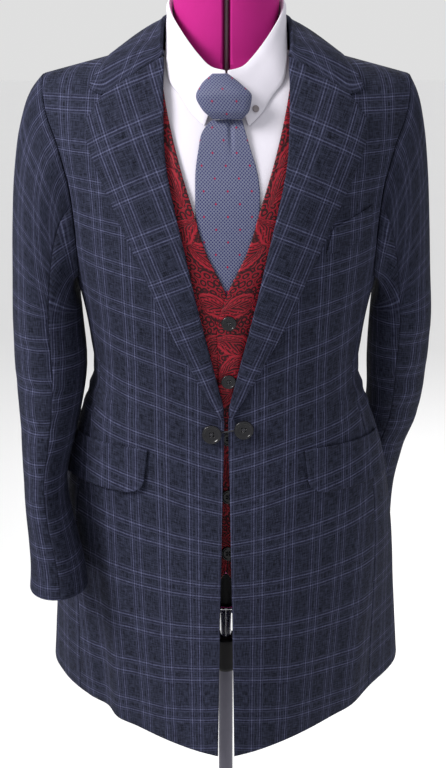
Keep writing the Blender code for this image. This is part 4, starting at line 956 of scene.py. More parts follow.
def fill_dots(graph: Graph, sockets: dict) -> list:
    """Staggered small dots, and one in so many picked out."""
    x, y, _ = graph.parts(sockets["Vector"])
    out = []
    for step_x, step_y, radius in (
        (sockets["Across"], sockets["Up"], sockets["Radius"]),
        (sockets["Spot Across"], sockets["Spot Up"], sockets["Spot Radius"]),
    ):
        row = graph.math("FLOOR", graph.math("DIVIDE", y, step_y))
        odd = graph.chain(row, ("MODULO", 2.0), ("ABSOLUTE",), ("MULTIPLY", 0.5))
        centred = (("FRACT",), ("SUBTRACT", 0.5))
        in_x = graph.chain(x, ("DIVIDE", step_x), ("ADD", odd), *centred, ("MULTIPLY", step_x))
        in_y = graph.chain(y, ("DIVIDE", step_y), *centred, ("MULTIPLY", step_y))
        across = graph.math("POWER", in_x, 2.0)
        up = graph.chain(in_y, ("MULTIPLY", 0.85), ("POWER", 2.0))
        square = graph.math("ADD", across, up)
        reach = graph.math("DIVIDE", graph.math("SQRT", square), radius)
        out.append(graph.fade(reach, 0.75, 1.15))
    return out


def dots_group() -> bpy.types.NodeTree:
    """The tie's dots."""
    inputs = {"Vector": None, "Across": 0.0036, "Up": 0.0019, "Radius": 0.0009,
              "Spot Across": 0.0252, "Spot Up": 0.0133, "Spot Radius": 0.0010}
    return group("tie_dots", inputs, ("Dot", "Spot"), fill_dots)


@dataclass(frozen=True)
class Finish:
    """What every finish has: its slot's name and the values of the plain shader sockets."""

    slot: str
    base: tuple[float, float, float]
    roughness: float
    metallic: float = 0.0
    sheen: float = 0.0
    coat: float = 0.0
    specular: float = 0.5

    def make(self) -> bpy.types.Material:
        """The finish's material, made once.

        Returns:
            The material.
        """
        name = f"{self.slot}_look"
        found = bpy.data.materials.get(name)
        if found:
            return found
        made = bpy.data.materials.new(name)
        made.use_nodes = True
        shader = made.node_tree.nodes["Principled BSDF"]
        shader.inputs["Base Color"].default_value = (*self.base, 1.0)
        shader.inputs["Roughness"].default_value = self.roughness
        shader.inputs["Metallic"].default_value = self.metallic
        shader.inputs["Sheen Weight"].default_value = self.sheen
        shader.inputs["Sheen Roughness"].default_value = 0.5
        shader.inputs["Coat Weight"].default_value = self.coat
        shader.inputs["Specular IOR Level"].default_value = self.specular
        self.wire(Graph(made.node_tree), shader.inputs)
        return made

    def wire(self, graph: Graph, sockets: bpy.types.NodeInputs) -> None:
        """Fine grain and wear on Object coordinates, for the hard pieces."""
        where = graph.add("TexCoord").outputs["Object"]
        cloud, grain = graph.noise(where, 38.0, 3.0), graph.noise(where, 900.0, 2.0)
        light = tuple(min(1.0, c * 1.35 + 0.004) for c in self.base)
        graph.feed(sockets["Base Color"], graph.mix(cloud, (*self.base, 1.0), (*light, 1.0)))
        rough = graph.math("MULTIPLY_ADD", cloud, 0.16, self.roughness - 0.08)
        graph.feed(sockets["Roughness"], rough)
        bump = graph.add("Bump", {"Height": grain, "Strength": 0.12, "Distance": 0.0002})
        graph.feed(sockets["Normal"], bump.outputs[0])

    def cloth(self, graph: Graph) -> bpy.types.NodeSocket:
        """The piece's own UV, in metres."""
        return graph.add("UVMap", uv_map="cloth").outputs[0]

    def woven(self, graph: Graph, vector: object, pitch: float, slant: float) -> bpy.types.Node:
        """The shared weave with this cloth's values."""
        node = graph.add("Group", node_tree=weave_group())
        for key, value in (("Vector", vector), ("Pitch", pitch), ("Slant", slant)):
            graph.feed(node.inputs[key], value)
        return node

    def raised(self, graph: Graph, sockets: bpy.types.NodeInputs, height: object, depth: float) -> None:
        """A bump that feeds the shader's normal."""
        bump = graph.add("Bump", {"Height": height, "Strength": 0.6, "Distance": depth})
        graph.feed(sockets["Normal"], bump.outputs[0])


@dataclass(frozen=True)
class Suiting(Finish):
    """Charcoal navy worsted with the twin windowpane."""

    # The darker colour is partly painted shade: the cloth's colour where it lies in shade, on the skirt and
    # the right side.
    shade: tuple[float, float, float] = (0.0045, 0.0052, 0.0100)
    line: tuple[float, float, float] = (0.092, 0.100, 0.178)

    def wire(self, graph: Graph, sockets: bpy.types.NodeInputs) -> None:
        """The plaid over a fine twill."""
        where = self.cloth(graph)
        weave = self.woven(graph, where, 0.0011, 1.0)
        pane = graph.add("Group", {"Vector": where}, node_tree=pane_group())
        # Noise mixes the darker colour with the lit base, which paints the wool darker all over as partly
        # painted shade.
        mottle = graph.math("MULTIPLY_ADD", weave.outputs["Slub"], 2.6, -0.90)
        mottle = graph.math("ADD", mottle, graph.math("MULTIPLY_ADD", weave.outputs["Cloud"], 0.2, -0.10))
        colour = graph.mix(mottle, (*self.shade, 1.0), (*self.base, 1.0))
        dark = graph.math("MULTIPLY", pane.outputs["Dark"], 0.45)
        colour = graph.mix(dark, colour, (0.012, 0.012, 0.030, 1.0))
        faint = graph.math("MULTIPLY", pane.outputs["Faint"], 0.20)
        colour = graph.mix(faint, colour, (*self.line, 1.0))
        broken = graph.math("MULTIPLY_ADD", weave.outputs["Slub"], 1.2, -0.10)
        bright = graph.math("MULTIPLY", pane.outputs["Bright"], broken)
        colour = graph.mix(bright, colour, (*self.line, 1.0))
        cross = graph.math("MULTIPLY", pane.outputs["Cross"], 0.5)
        colour = graph.mix(cross, colour, (0.16, 0.17, 0.28, 1.0))
        graph.feed(sockets["Base Color"], colour)
        rough = graph.math("MULTIPLY_ADD", weave.outputs["Cloud"], 0.14, self.roughness - 0.07)
        graph.feed(sockets["Roughness"], rough)
        self.raised(graph, sockets, weave.outputs["Height"], 0.00035)


@dataclass(frozen=True)
class Brocade(Finish):
    """Red satin with a woven paisley that shows black where its ground turns."""

    shade: tuple[float, float, float] = (0.014, 0.002, 0.004)
    line: tuple[float, float, float] = (0.34, 0.014, 0.028)

    def wire(self, graph: Graph, sockets: bpy.types.NodeInputs) -> None:
        """The figure over satin."""
        where = self.cloth(graph)
        weave = self.woven(graph, where, 0.0007, 0.3)
        figure = graph.add("Group", {"Vector": where}, node_tree=paisley_group())
        colour = graph.mix(figure.outputs["Figure"], (*self.shade, 1.0), (*self.base, 1.0))
        line = graph.math("MULTIPLY", figure.outputs["Line"], 0.7)
        colour = graph.mix(line, colour, (*self.line, 1.0))
        shift = graph.math("MULTIPLY_ADD", weave.outputs["Slub"], 0.7, -0.2)
        colour = graph.mix(shift, colour, (0.05, 0.003, 0.006, 1.0))
        graph.feed(sockets["Base Color"], colour)
        rough = graph.math("MULTIPLY_ADD", figure.outputs["Figure"], -0.22, self.roughness)
        graph.feed(sockets["Roughness"], rough)
        relief = graph.math("MULTIPLY_ADD", weave.outputs["Height"], 0.4, figure.outputs["Figure"])
        self.raised(graph, sockets, relief, 0.0003)


@dataclass(frozen=True)
class TieWeave(Finish):
    """Blue grey silk with navy dots and a few dark red ones."""

    dot: tuple[float, float, float] = (0.020, 0.022, 0.095)
    spot: tuple[float, float, float] = (0.30, 0.012, 0.045)

    def wire(self, graph: Graph, sockets: bpy.types.NodeInputs) -> None:
        """The dots over a plain weave."""
        where = self.cloth(graph)
        weave = self.woven(graph, where, 0.0008, 0.0)
        dots = graph.add("Group", {"Vector": where}, node_tree=dots_group())
        tint = graph.math("MULTIPLY_ADD", weave.outputs["Slub"], 1.0, -0.1)
        dim = tuple(c * 0.62 for c in self.base)
        colour = graph.mix(tint, (*dim, 1.0), (*self.base, 1.0))
        colour = graph.mix(dots.outputs["Dot"], colour, (*self.dot, 1.0))
        colour = graph.mix(dots.outputs["Spot"], colour, (*self.spot, 1.0))
        graph.feed(sockets["Base Color"], colour)
        rough = graph.math("MULTIPLY_ADD", dots.outputs["Dot"], -0.15, self.roughness)
        graph.feed(sockets["Roughness"], rough)
        relief = graph.math("MULTIPLY_ADD", dots.outputs["Dot"], -0.5, weave.outputs["Height"])
        self.raised(graph, sockets, relief, 0.0003)


@dataclass(frozen=True)
class PlainCloth(Finish):
    """A plain cloth with its weave and soft uneven colour."""

    shade: tuple[float, float, float] = (0.70, 0.70, 0.76)
    pitch: float = 0.0006
    slant: float = 0.0
    depth: float = 0.00012

    def wire(self, graph: Graph, sockets: bpy.types.NodeInputs) -> None:
        """The weave in colour, roughness and bump."""
        where = self.cloth(graph)
        weave = self.woven(graph, where, self.pitch, self.slant)
        mottle = graph.math("MULTIPLY", graph.math("ADD", weave.outputs["Slub"], weave.outputs["Cloud"]), 0.5)
        graph.feed(sockets["Base Color"], graph.mix(mottle, (*self.shade, 1.0), (*self.base, 1.0)))
        graph.feed(sockets["Roughness"], graph.math("MULTIPLY_ADD", mottle, 0.14, self.roughness - 0.07))
        self.raised(graph, sockets, weave.outputs["Height"], self.depth)


class Dress(Enum):
    """The finishes of the suit, the form and the stand."""

    # The wool's base is its lit colour, and its default darker colour is partly painted shade.
    WOOL = Suiting("coat_wool", (0.0330, 0.0375, 0.0670), 0.88, specular=0.08)
    BROCADE = Brocade("vest_brocade", (0.215, 0.005, 0.015), 0.58, specular=0.2)
    COTTON = PlainCloth("shirt_cotton", (0.66, 0.64, 0.71), 0.80, specular=0.1, shade=(0.60, 0.58, 0.66))
    SILK = TieWeave("tie_silk", (0.165, 0.182, 0.270), 0.56, specular=0.2)
    JERSEY = PlainCloth("form_jersey", (0.44, 0.016, 0.205), 0.80, specular=0.15,
                        shade=(0.36, 0.011, 0.155), pitch=0.0010, slant=0.0, depth=0.0003)
    THREAD = PlainCloth("thread", (0.022, 0.022, 0.030), 0.75, shade=(0.010, 0.010, 0.014),
                        pitch=0.0004, depth=0.0002)
    HORN = Finish("horn_button", (0.004, 0.004, 0.006), 0.22, specular=0.35)
    GREY_PLASTIC = Finish("grey_plastic", (0.16, 0.14, 0.15), 0.42)
    BLACK_PLASTIC = Finish("black_plastic", (0.003, 0.003, 0.004), 0.40, specular=0.15)
    BLACK_METAL = Finish("black_metal", (0.010, 0.010, 0.012), 0.34, metallic=0.4)
    STEEL = Finish("steel_tube", (0.34, 0.34, 0.36), 0.20, metallic=1.0)
    GREY_TUBE = Finish("grey_tube", (0.085, 0.082, 0.105), 0.38, metallic=0.5, specular=0.3)


def dressed(
    obj: bpy.types.Object, nodes: Sequence[str], body: str = "form"
) -> bpy.types.Object:
    """Puts a piece on its body in place of its solids, and logs it.

    Args:
        obj: The piece.
        nodes: The solids that it stands for.
        body: The body that it rides on.

    Returns:
        The piece.
    """
    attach(obj, body)
    if nodes:
        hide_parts(*nodes)
    LOG.info("%s: %d faces, rides on %s", obj.name, len(obj.data.polygons), body)
    return obj


@dataclass(frozen=True)
class Cut:
    """The flat cut of one piece of cloth: its width, length and area, and how it is held."""

    width: float
    length: float
    share: float
    held: str = "hung"
    rests_on: tuple[str, ...] = ("form_body",)


def sheet_of(obj: bpy.types.Object) -> bpy.types.Object:
    """Hands back the piece as it is."""
    return obj


def cloth_piece(
    label: str, outer: np.ndarray, inner: np.ndarray, finish: Dress, side: int = 1
) -> None:
    """A wall of cloth on one side, in place of its solid.

    Args:
        label: The solid's name.
        outer: The outer fine grid on the wearer's left.
        inner: The inner fine grid.
        finish: Its cloth.
        side: The wearer's side.
    """
    obj = wall(f"{label}_cloth", sided(outer, side), sided(inner, side), finish.value.make())
    sheet_of(dressed(obj, [label]))


def hard_piece(
    name: str, bm: bmesh.types.BMesh, finish: Dress, nodes: Sequence[str], body: str = "form"
) -> bpy.types.Object:
    """A mesh of one finish, on its body in place of its solids."""
    return dressed(add_mesh(name, bm, finish.value.make()), nodes, body)


LAPEL_COLS = 4
OUTER_COLS = 5
FRONT_SHARES = (0.06, 0.26, 0.58)
BACK_SHARES = (0.25,)
FAN_WIDTH = 0.009
VENT_HALF = 0.004
VENT_TOP = 0.99
VENT_LENGTH = 0.36
SKIRT_TOP = 0.93
SKIRT_FADE = 0.25
FOLD_CENTRE_Y = 0.03
WAIST_Z = 1.045
WAIST_REACH = 0.035
WAIST_DEPTH = 0.0011
WAIST_SLANT = 0.35
WAIST_WAVES = 230
PATTERN_ARCS = (0.0, 0.08, 0.20, 0.30)
PATTERN_FALLS = (0.0, 0.08, 0.15, 0.16)
PATTERN_SLANT = 1.6
LAPEL_PATTERN_ARC = 0.075
LAPEL_PATTERN_Z = 1.30
LAPEL_EDGE = Edge(0.0014, 0.0007)
SLEEVE_EDGE = Edge(0.0014, 0.0006)
FLAT_EDGE = Edge(0.0012, 0.0006)
SLEEVE_STEPS = 4
FRONT_SEAM_SPAN = 7
BACK_SEAM_SPAN = 4
COLLAR_LIE_ROWS = len(FRONT_SHARES) + 1
SIDE_COLS = 4
BACK_COLS = 7
FRONT_NECK_X = 0.0735
FAN_DEPTH = 0.190
LEVELS = (ARMPIT_Z, 1.150, 1.108, 1.068, 1.032, 1.005, 0.965, 0.925, 0.885, 0.845, 0.805, 0.765,
          0.725, 0.680, HEM_Z)
SKIRT_LEVELS = LEVELS[5:]

# The back's rows above the armpit: the end at the neckline or the centre back, and at the armhole.
BACK_ROWS = {
    "inner_x": (0.0400, 0.0, 0.0, 0.0, 0.0, 0.0, 0.0),
    "inner_z": (1.4365, 1.4320, 1.4100, 1.3800, 1.3350, 1.2850, 1.2250),
    "outer_x": (0.2010, 0.1968, 0.1920, 0.1840, 0.1765, 0.1735, 0.0),
    "outer_z": (1.3780, 1.3620, 1.3440, 1.3150, 1.2750, 1.2300, ARMPIT_Z),
}
COLLAR_COLS = 5
STAND_COLS = 4
ARMHOLE_FRONT = COLLAR_LIE_ROWS + 6
CAP_STEPS = (0.14, 0.30, 0.48, 0.68, 0.86)
CAP_END_Z = 1.130
SLANT = {
    "z": (0.63, 0.70, 0.85, 0.95, 1.05, 1.13, 1.23, 1.35, 1.45),
    "front": (-0.16, -0.14, 0.02, 0.14, 0.20, 0.22, 0.16, 0.02, 0.0),
}


@dataclass
class Cap:
    """How a sleeve's head leaves the shoulder tip (x, z) and how it comes down to the upper arm."""

    leave: Place
    end: Place


@dataclass
class Coat:
    """The day coat: fronts, side bodies, backs, lapels, collar, sleeves, flaps, welt, buttons."""

    rows: int = 5
    cols: int = 6
    roll_steps: int = 6
    lapel_turn: float = math.radians(22.0)
    lapel_pattern: float = 0.92
    puff: float = 0.0022
    flap_top: float = 0.9955
    flap_low: float = 0.9410
    flap_front: tuple[float, float] = (0.0885, 0.0950)
    flap_share: float = 0.462
    welt: tuple[Place, ...] = ((0.1135, 1.2500), (0.1585, 1.2700), (0.1555, 1.2350), (0.1060, 1.2210))
    welt_wall: float = 0.0016
    button_radius: float = 0.0113
    button_rise: float = 0.0038
    cuff_radius: float = 0.0075
    cuff_turn: float = -0.62
    cuff_step: float = 0.0165
    cuff_buttons: int = 4

    def lapel_row(self, index: int) -> tuple[Place, Place, Place]:
        """Roll, edge and side places of a row of the lapel table."""
        roll = front_place(LAPEL_ROWS["roll_x"][index], LAPEL_ROWS["roll_z"][index])
        edge = front_place(LAPEL_ROWS["edge_x"][index], LAPEL_ROWS["edge_z"][index])
        z = LAPEL_ROWS["side_z"][index]
        if z > ARMPIT_Z + 0.001:
            return roll, edge, front_place(LAPEL_ROWS["side_x"][index], z)
        return roll, edge, seam_place("front_side", z, -SEAM_GAP / 2)

    def shoulder_row(self, columns: int, place: Callable) -> list[Place]:
        """The row along the shoulder seam."""
        xs = [lerp(FRONT_NECK_X, SHOULDER_TIP_X, j / columns) for j in range(columns + 1)]
        return [place(x, shoulder_z(x)) for x in xs]

    def spread_row(self, start: Place, end: Place, columns: int) -> list[Place]:
        """A row below the button, whose first columns fan out from the lapel's foot.

        Args:
            start: The place at the centre edge.
            end: The place at the side seam.
            columns: How many steps.

        Returns:
            The places.
        """
        z = start[1]
        first, last = BODY.arc_of_u(*start), BODY.arc_of_u(*end)
        even = smooth((BUTTON_Z - z) / FAN_DEPTH)
        row = [start]
        for j in range(1, columns):
            if j <= LAPEL_COLS:
                close = first + FAN_WIDTH * j / LAPEL_COLS
            else:
                close = lerp(first + FAN_WIDTH, last, (j - LAPEL_COLS) / OUTER_COLS)
            row.append((BODY.u_of_arc(lerp(close, lerp(first, last, j / columns), even), z), z))
        return row + [end]

    def front_places(self) -> Places:
        """The grid of the front, from the shoulder to the hem, roll line or centre edge first."""
        columns = LAPEL_COLS + OUTER_COLS
        shoulder = self.shoulder_row(columns, front_place)
        roll, edge, side = self.lapel_row(0)
        gorge = row_between(roll, front_place(*NOTCH), LAPEL_COLS - 1) + row_between(edge, side, OUTER_COLS)
        rows = [shoulder] + rows_below_shoulder(shoulder, gorge, FRONT_SHARES, front_place, 0.005) + [gorge]
        for index in range(1, len(LAPEL_ROWS["roll_x"])):
            roll, edge, side = self.lapel_row(index)
            rows.append(row_between(roll, edge, LAPEL_COLS)[:-1] + row_between(edge, side, OUTER_COLS))
        for z in SKIRT_LEVELS:
            down = max(0.0, BUTTON_Z - z) / (BUTTON_Z - HEM_Z)
            start = front_place(lerp(CENTRE_EDGE, HEM_EDGE, down**0.8), z)
            rows.append(self.spread_row(start, seam_place("front_side", z, -SEAM_GAP / 2), columns))
        return rows

    def side_places(self) -> Places:
        """The grid of the side body, from under the arm to the hem."""
        rows = []
        for z in LEVELS:
            start = seam_place("front_side", z, SEAM_GAP / 2)
            row = row_between(start, seam_place("side_back", z, -SEAM_GAP / 2), SIDE_COLS)
            if z == ARMPIT_Z:
                row = [(u, z - 0.010 * math.sin(math.pi * j / SIDE_COLS)) for j, (u, _) in enumerate(row)]
            rows.append(row)
        return rows

    def centre_back(self, z: float) -> Place:
        """The place beside the centre back seam, which opens as the vent below the waist."""
        open_by = VENT_HALF * smooth((VENT_TOP - z) / VENT_LENGTH)
        return BODY.u_of_arc(BODY.section(z)["arc"][-1] - SEAM_GAP / 2 - open_by, z), z

    def back_places(self) -> Places:
        """The grid of the back, from the shoulder to the hem, centre back first."""
        rows = []
        for index, inner_x in enumerate(BACK_ROWS["inner_x"]):
            inner_z, outer_z = BACK_ROWS["inner_z"][index], BACK_ROWS["outer_z"][index]
            start = back_place(inner_x, inner_z) if inner_x else self.centre_back(inner_z)
            if BACK_ROWS["outer_x"][index]:
                end = back_place(BACK_ROWS["outer_x"][index], outer_z)
            else:
                end = seam_place("side_back", outer_z, SEAM_GAP / 2)
            rows.append(row_between(start, end, BACK_COLS))
        shoulder = self.shoulder_row(BACK_COLS, back_place)
        rows = [shoulder] + rows_below_shoulder(shoulder, rows[0], BACK_SHARES, back_place, 0.002) + rows
        for z in LEVELS[1:]:
            rows.append(row_between(self.centre_back(z), seam_place("side_back", z, SEAM_GAP / 2), BACK_COLS))
        return rows

    def patterned(self, places: Places, grid: Rows) -> np.ndarray:
        """A grid as an array whose UV is the length from the centre front and the height."""
        arcs = [[BODY.arc_of_u(u, z) for u, z in row] for row in places]
        return array_of(grid, arcs, [[z for _, z in row] for row in places])

    def slanted(self, grid: np.ndarray) -> np.ndarray:
        """Lowers the pattern's crosswise lines towards the centre front, as the cloth hangs."""
        slant = np.interp(grid[..., 4], SLANT["z"], SLANT["front"])
        fall = np.interp(grid[..., 3], PATTERN_ARCS, PATTERN_FALLS)
        grid[..., 4] -= slant * fall * PATTERN_SLANT
        return grid

    def folded(self, outer: np.ndarray, inner: np.ndarray, side: int) -> tuple[np.ndarray, np.ndarray]:
        """Moves a wall of the body by the skirt's soft folds and the waist's small creases.

        Args:
            outer: The outer fine grid.
            inner: The inner fine grid.
            side: The wearer's side.

        Returns:
            Both grids, moved together.
        """
        x, y, z = (outer[..., k] for k in range(3))
        angle = np.degrees(np.arctan2(x, -y + FOLD_CENTRE_Y))
        skirt = np.clip((SKIRT_TOP - z) / SKIRT_FADE, 0, 1) ** 1.3
        move = np.zeros_like(x)
        for centre, width, depth in SKIRT_FOLDS[side]:
            move += depth * skirt * bell(angle - centre, width)
        waist = bell(z - WAIST_Z, WAIST_REACH)
        waves = np.sin((z - np.abs(x) * WAIST_SLANT) * WAIST_WAVES)
        move += WAIST_DEPTH * waist * waves * np.clip((angle - 20) / 40, 0, 1)
        return pushed(outer, inner, move)

    def body(self) -> None:
        """The fronts, side bodies and backs, with the lapels on the fronts."""
        grids = {
            "coat_front": self.front_places(),
            "coat_side": self.side_places(),
            "coat_back": self.back_places(),
        }
        self.places = grids
        for name, places in grids.items():
            coarse = self.patterned(places, lay(places, 0.0))
            inside = self.patterned(places, lay(places, -COAT_WALL))
            outer, inner = (refined(g, self.rows, self.cols) for g in (coarse, inside))
            if name != "coat_front":
                outer[..., 3] = np.abs(outer[..., 3] - outer[:, :1, 3])
            for side in (1, -1):
                near, far = self.folded(outer, inner, side)
                if name == "coat_front":
                    self.lapel(near, side)
                    for grid in (near, far):
                        grid[:, 0, :3] = grid[:, 0, :3] * 0.9 + grid[:, 1, :3] * 0.1
                    near = self.slanted(near)
                near, far = edged(near, far, Edge())
                cloth_piece(f"{name}_{side_name(side)}", near, far, Dress.WOOL, side)

    def lapel(self, front: np.ndarray, side: int) -> None:
        """A turned-back lapel on the fine front: its roll, its puffed face and its edge.

        Args:
            front: The fine front before its pattern slants.
            side: The wearer's side.
        """
        first = COLLAR_LIE_ROWS * self.rows
        last = first + (len(LAPEL_ROWS["roll_x"]) - 1) * self.rows
        base = front[first : last + 1, : LAPEL_COLS * self.cols + 1].copy()
        base[0, :, :3] = base[0, :, :3] * 0.96 + base[1, :, :3] * 0.04
        count = base.shape[1]
        under = base.copy()
        normal = normals_of(base, base - np.array([0, -1.0, 0.2, 0, 0]))
        share = np.linspace(0, 1, count)[None, :]
        fade = 1 - 0.6 * np.linspace(0, 1, base.shape[0])[:, None]
        lift = SEAM_GAP + COAT_WALL + self.puff * np.sin(math.pi * share) * fade
        base[..., :3] += normal * lift[..., None]
        under[..., :3] += normal * (lift - COAT_WALL)[..., None]
        top = (SEAM_GAP + COAT_WALL, -COAT_WALL)
        radius, centre = (top[0] - top[1]) / 2, (top[0] + top[1]) / 2
        edge_out = front[first : last + 1, 0, :3] - front[first : last + 1, 1, :3]
        edge_out /= np.linalg.norm(edge_out, axis=-1, keepdims=True)
        root = front[first : last + 1, 0, :3]
        outs, ins = [], []
        for k in range(self.roll_steps, 0, -1):
            turn = math.pi * k / self.roll_steps
            for target, reach in ((outs, radius), (ins, radius - COAT_WALL)):
                line = np.zeros_like(base[:, 0])
                raised = normal[:, 0] * (centre + reach * math.cos(turn))
                line[:, :3] = root + raised + edge_out * reach * math.sin(turn)
                line[:, 3] = base[:, 0, 3] - radius * turn
                line[:, 4] = base[:, 0, 4]
                target.append(line)
        outer = np.concatenate([np.stack(outs, 1), base], 1)
        inner = np.concatenate([np.stack(ins, 1), under], 1)
        across, up = outer[..., 3] - LAPEL_PATTERN_ARC, outer[..., 4] - LAPEL_PATTERN_Z
        turn = self.lapel_turn
        outer[..., 3] = (across * math.cos(turn) - up * math.sin(turn)) * self.lapel_pattern
        outer[..., 4] = (up * math.cos(turn) + across * math.sin(turn)) * self.lapel_pattern
        outer, inner = edged(outer, inner, LAPEL_EDGE)
        label = f"coat_lapel_{side_name(side)}"
        cloth_piece(label, outer, inner, Dress.WOOL, side)

    def collar(self) -> None:
        """The collar: its stand inside the neckline, its roll, and its fall on the shoulders."""
        start = front_place(LAPEL_ROWS["roll_x"][0], LAPEL_ROWS["roll_z"][0] + SEAM_GAP)
        line = row_between(start, front_place(NOTCH[0], NOTCH[1] + SEAM_GAP), COLLAR_COLS - 1)
        half = []
        for index, (x, y) in enumerate(COLLAR_ROWS["edge"]):
            edge = BODY.point(*ridge_place(x, y), COAT_WALL + 0.0014)
            if index == 0:
                fall = [BODY.point(u, z, COAT_WALL + 2 * SEAM_GAP) for u, z in line] + [edge]
                out = level_out(fall[0])
                half.append([fall[0] - out * back + Vector((0, 0, up)) for back, up in COLLAR_CURL] + fall)
            else:
                foot, crest = (Vector(COLLAR_ROWS[key][index]) for key in ("foot", "crest"))
                half.append(turned_down(foot, crest, edge, COLLAR_CREST, COLLAR_COLS, 0.0030))
        outer, inner = turned_collar(half, COAT_WALL, 5, 4)
        outer = measured(outer, outer.shape[1] - 1)
        middle = outer.shape[0] // 2
        outer[..., 4] -= outer[middle, 0, 4]
        outer[..., [3, 4]] = outer[..., [4, 3]]
        outer, inner = edged(outer, inner, LAPEL_EDGE)
        cloth_piece("coat_collar", outer, inner, Dress.WOOL)

    def armhole(self) -> list[Place]:
        """The armhole's places, from the shoulder tip down the front and up the back."""
        front, flank, back = (self.places[key] for key in ("coat_front", "coat_side", "coat_back"))
        down = [row[-1] for row in front[:ARMHOLE_FRONT]]
        up = [row[-1] for row in back[: len(BACK_ROWS["inner_x"]) + 1 + len(BACK_SHARES)]][::-1]
        return down + flank[0][1:-1] + up[:-1]

    def ring_point(self, rows: dict, z: float, turn: float) -> Vector:
        """A point of a sleeve's ring: turn is 0 on the outer side and a quarter turn in front."""
        width, depth = table(rows, "half_width", z), table(rows, "half_depth", z)
        x = table(rows, "x", z) + width * math.cos(turn)
        return Vector((x, table(rows, "y", z) - depth * math.sin(turn), z))

    def sleeve_grid(self, rows: dict, cap: Cap) -> tuple[Rows, Rows]:
        """A sleeve's outer and inner points: rings from the armhole, over the cap, to the cuff.

        Args:
            rows: The sleeve's table.
            cap: Its head.

        Returns:
            The outer and the inner grid.
        """
        ring = self.armhole()
        seat = [BODY.point(u, z) for u, z in ring]
        count = len(seat)
        under_first, under_last = ARMHOLE_FRONT - 1, ARMHOLE_FRONT - 1 + SIDE_COLS
        bottom = (under_first + under_last) // 2
        lengths = np.cumsum([0.0] + [(seat[(k + 1) % count] - seat[k]).length for k in range(count)])
        turns, away = [], []
        for k, (u, z) in enumerate(ring):
            past = (lengths[k] - lengths[bottom]) / (lengths[-1] - lengths[bottom])
            turns.append(math.pi * (lengths[k] / lengths[bottom] if k <= bottom else 1 + past))
            along = seat[(k + 1) % count] - seat[(k - 1) % count]
            out = along.cross(BODY.normal(u, z)).normalized()
            under = under_first <= k <= under_last
            wanted = Vector((0.0, 0.0, 1.0)) if under else Vector((1.0, 0.0, 0.0))
            away.append(-out if out.dot(wanted) < 0 else out)
        grid = [[p + out * (SEAM_GAP * 1.5) for p, out in zip(seat, away)]]
        for t in CAP_STEPS:
            line = []
            for p, turn in zip(grid[0], turns):
                low = (1 - math.cos(turn)) / 2
                end = self.ring_point(rows, CAP_END_Z, turn)
                leave = [lerp(a, b, low) for a, b in zip(cap.leave, UNDER_CAP.leave)]
                drop = [lerp(a, b, low) for a, b in zip(cap.end, UNDER_CAP.end)]
                first = p + Vector((leave[0], -0.010 * math.sin(turn), leave[1]))
                last = end + Vector((drop[0], 0.0, drop[1]))
                near, far = (1 - t) ** 2, t * t
                leaving = p * near * (1 - t) + first * 3 * t * near
                line.append(leaving + last * 3 * far * (1 - t) + end * far * t)
            grid.append(line)
        grid += [[self.ring_point(rows, z, turn) for turn in turns] for z in rows["z"] if z <= CAP_END_Z]
        centres = [sum(line, Vector()) / count for line in grid]
        centres[0].x -= 0.02
        normals = grid_normals(grid, True, lambda i, j: grid[i][j] - centres[i])
        for k in range(count):
            inside = normals[0][k].dot(away[k])
            if inside > 0:
                normals[0][k] = (normals[0][k] - away[k] * inside).normalized()
        return grid, moved(grid, normals, -COAT_WALL)

    def creased(self, outer: np.ndarray, inner: np.ndarray, side: int) -> tuple[np.ndarray, np.ndarray]:
        """Soft creases of a sleeve across the inside of the elbow.

        Args:
            outer: The outer fine grid.
            inner: The inner fine grid.
            side: The wearer's side.

        Returns:
            Both grids, moved together.
        """
        x, y, z = (outer[..., k] for k in range(3))
        ahead = np.clip(-normals_of(outer, inner)[..., 1] * 1.2, 0, 1)
        move = np.zeros_like(x)
        for height, tilt, width, depth in ELBOW_CREASES[side]:
            line = z - height - tilt * (x - 0.21) + 0.15 * y
            move -= depth * ahead * bell(line, width)
        move *= np.clip((1.17 - z) / 0.08, 0, 1) * np.clip((z - 0.86) / 0.05, 0, 1)
        return pushed(outer, inner, move)

    def sleeves(self) -> None:
        """Both sleeves, each a top and an under sleeve, with their cuff buttons."""
        for side, rows, cap in ((1, LEFT_SLEEVE, LEFT_CAP), (-1, RIGHT_SLEEVE, RIGHT_CAP)):
            pair = self.sleeve_grid(rows, cap)
            outer, inner = (refined(array_of(g), 4, SLEEVE_STEPS, True) for g in pair)
            outer, inner = self.creased(outer, inner, side)
            count = outer.shape[1]
            front_seam = FRONT_SEAM_SPAN * SLEEVE_STEPS
            back_seam = count - BACK_SEAM_SPAN * SLEEVE_STEPS
            spans = (("top", back_seam, front_seam + count), ("under", front_seam, back_seam))
            for name, first, last in spans:
                columns = [k % count for k in range(first, last + 1)]
                parts = (grid[:, columns].copy() for grid in (outer, inner))
                near, far = (drawn_in(part, SEAM_GAP * 0.12) for part in parts)
                near = measured(near, len(columns) // 2)
                near, far = edged(near, far, SLEEVE_EDGE)
                kind = f"coat_sleeve_{name}"
                cloth_piece(f"{kind}_{side_name(side)}", near, far, Dress.WOOL, side)
            self.cuff(rows, side)

    def cuff(self, rows: dict, side: int) -> None:
        """The row of small buttons beside the back seam of the cuff."""
        low = min(rows["z"])
        for index in range(self.cuff_buttons):
            z = low + 0.022 + index * self.cuff_step
            place = self.ring_point(rows, z, self.cuff_turn)
            around = self.ring_point(rows, z, self.cuff_turn + 0.05) - place
            normal = around.cross(self.ring_point(rows, z + 0.01, self.cuff_turn) - place).normalized()
            if normal.x < 0:
                normal.negate()
            seat = place + normal * 0.0005
            name = f"coat_cuff_button_{side_name(side)}_{index + 1}"
            button = Button(self.cuff_radius, 0.0030)
            button.sew(name, on_side(seat, side), on_side(normal, side))

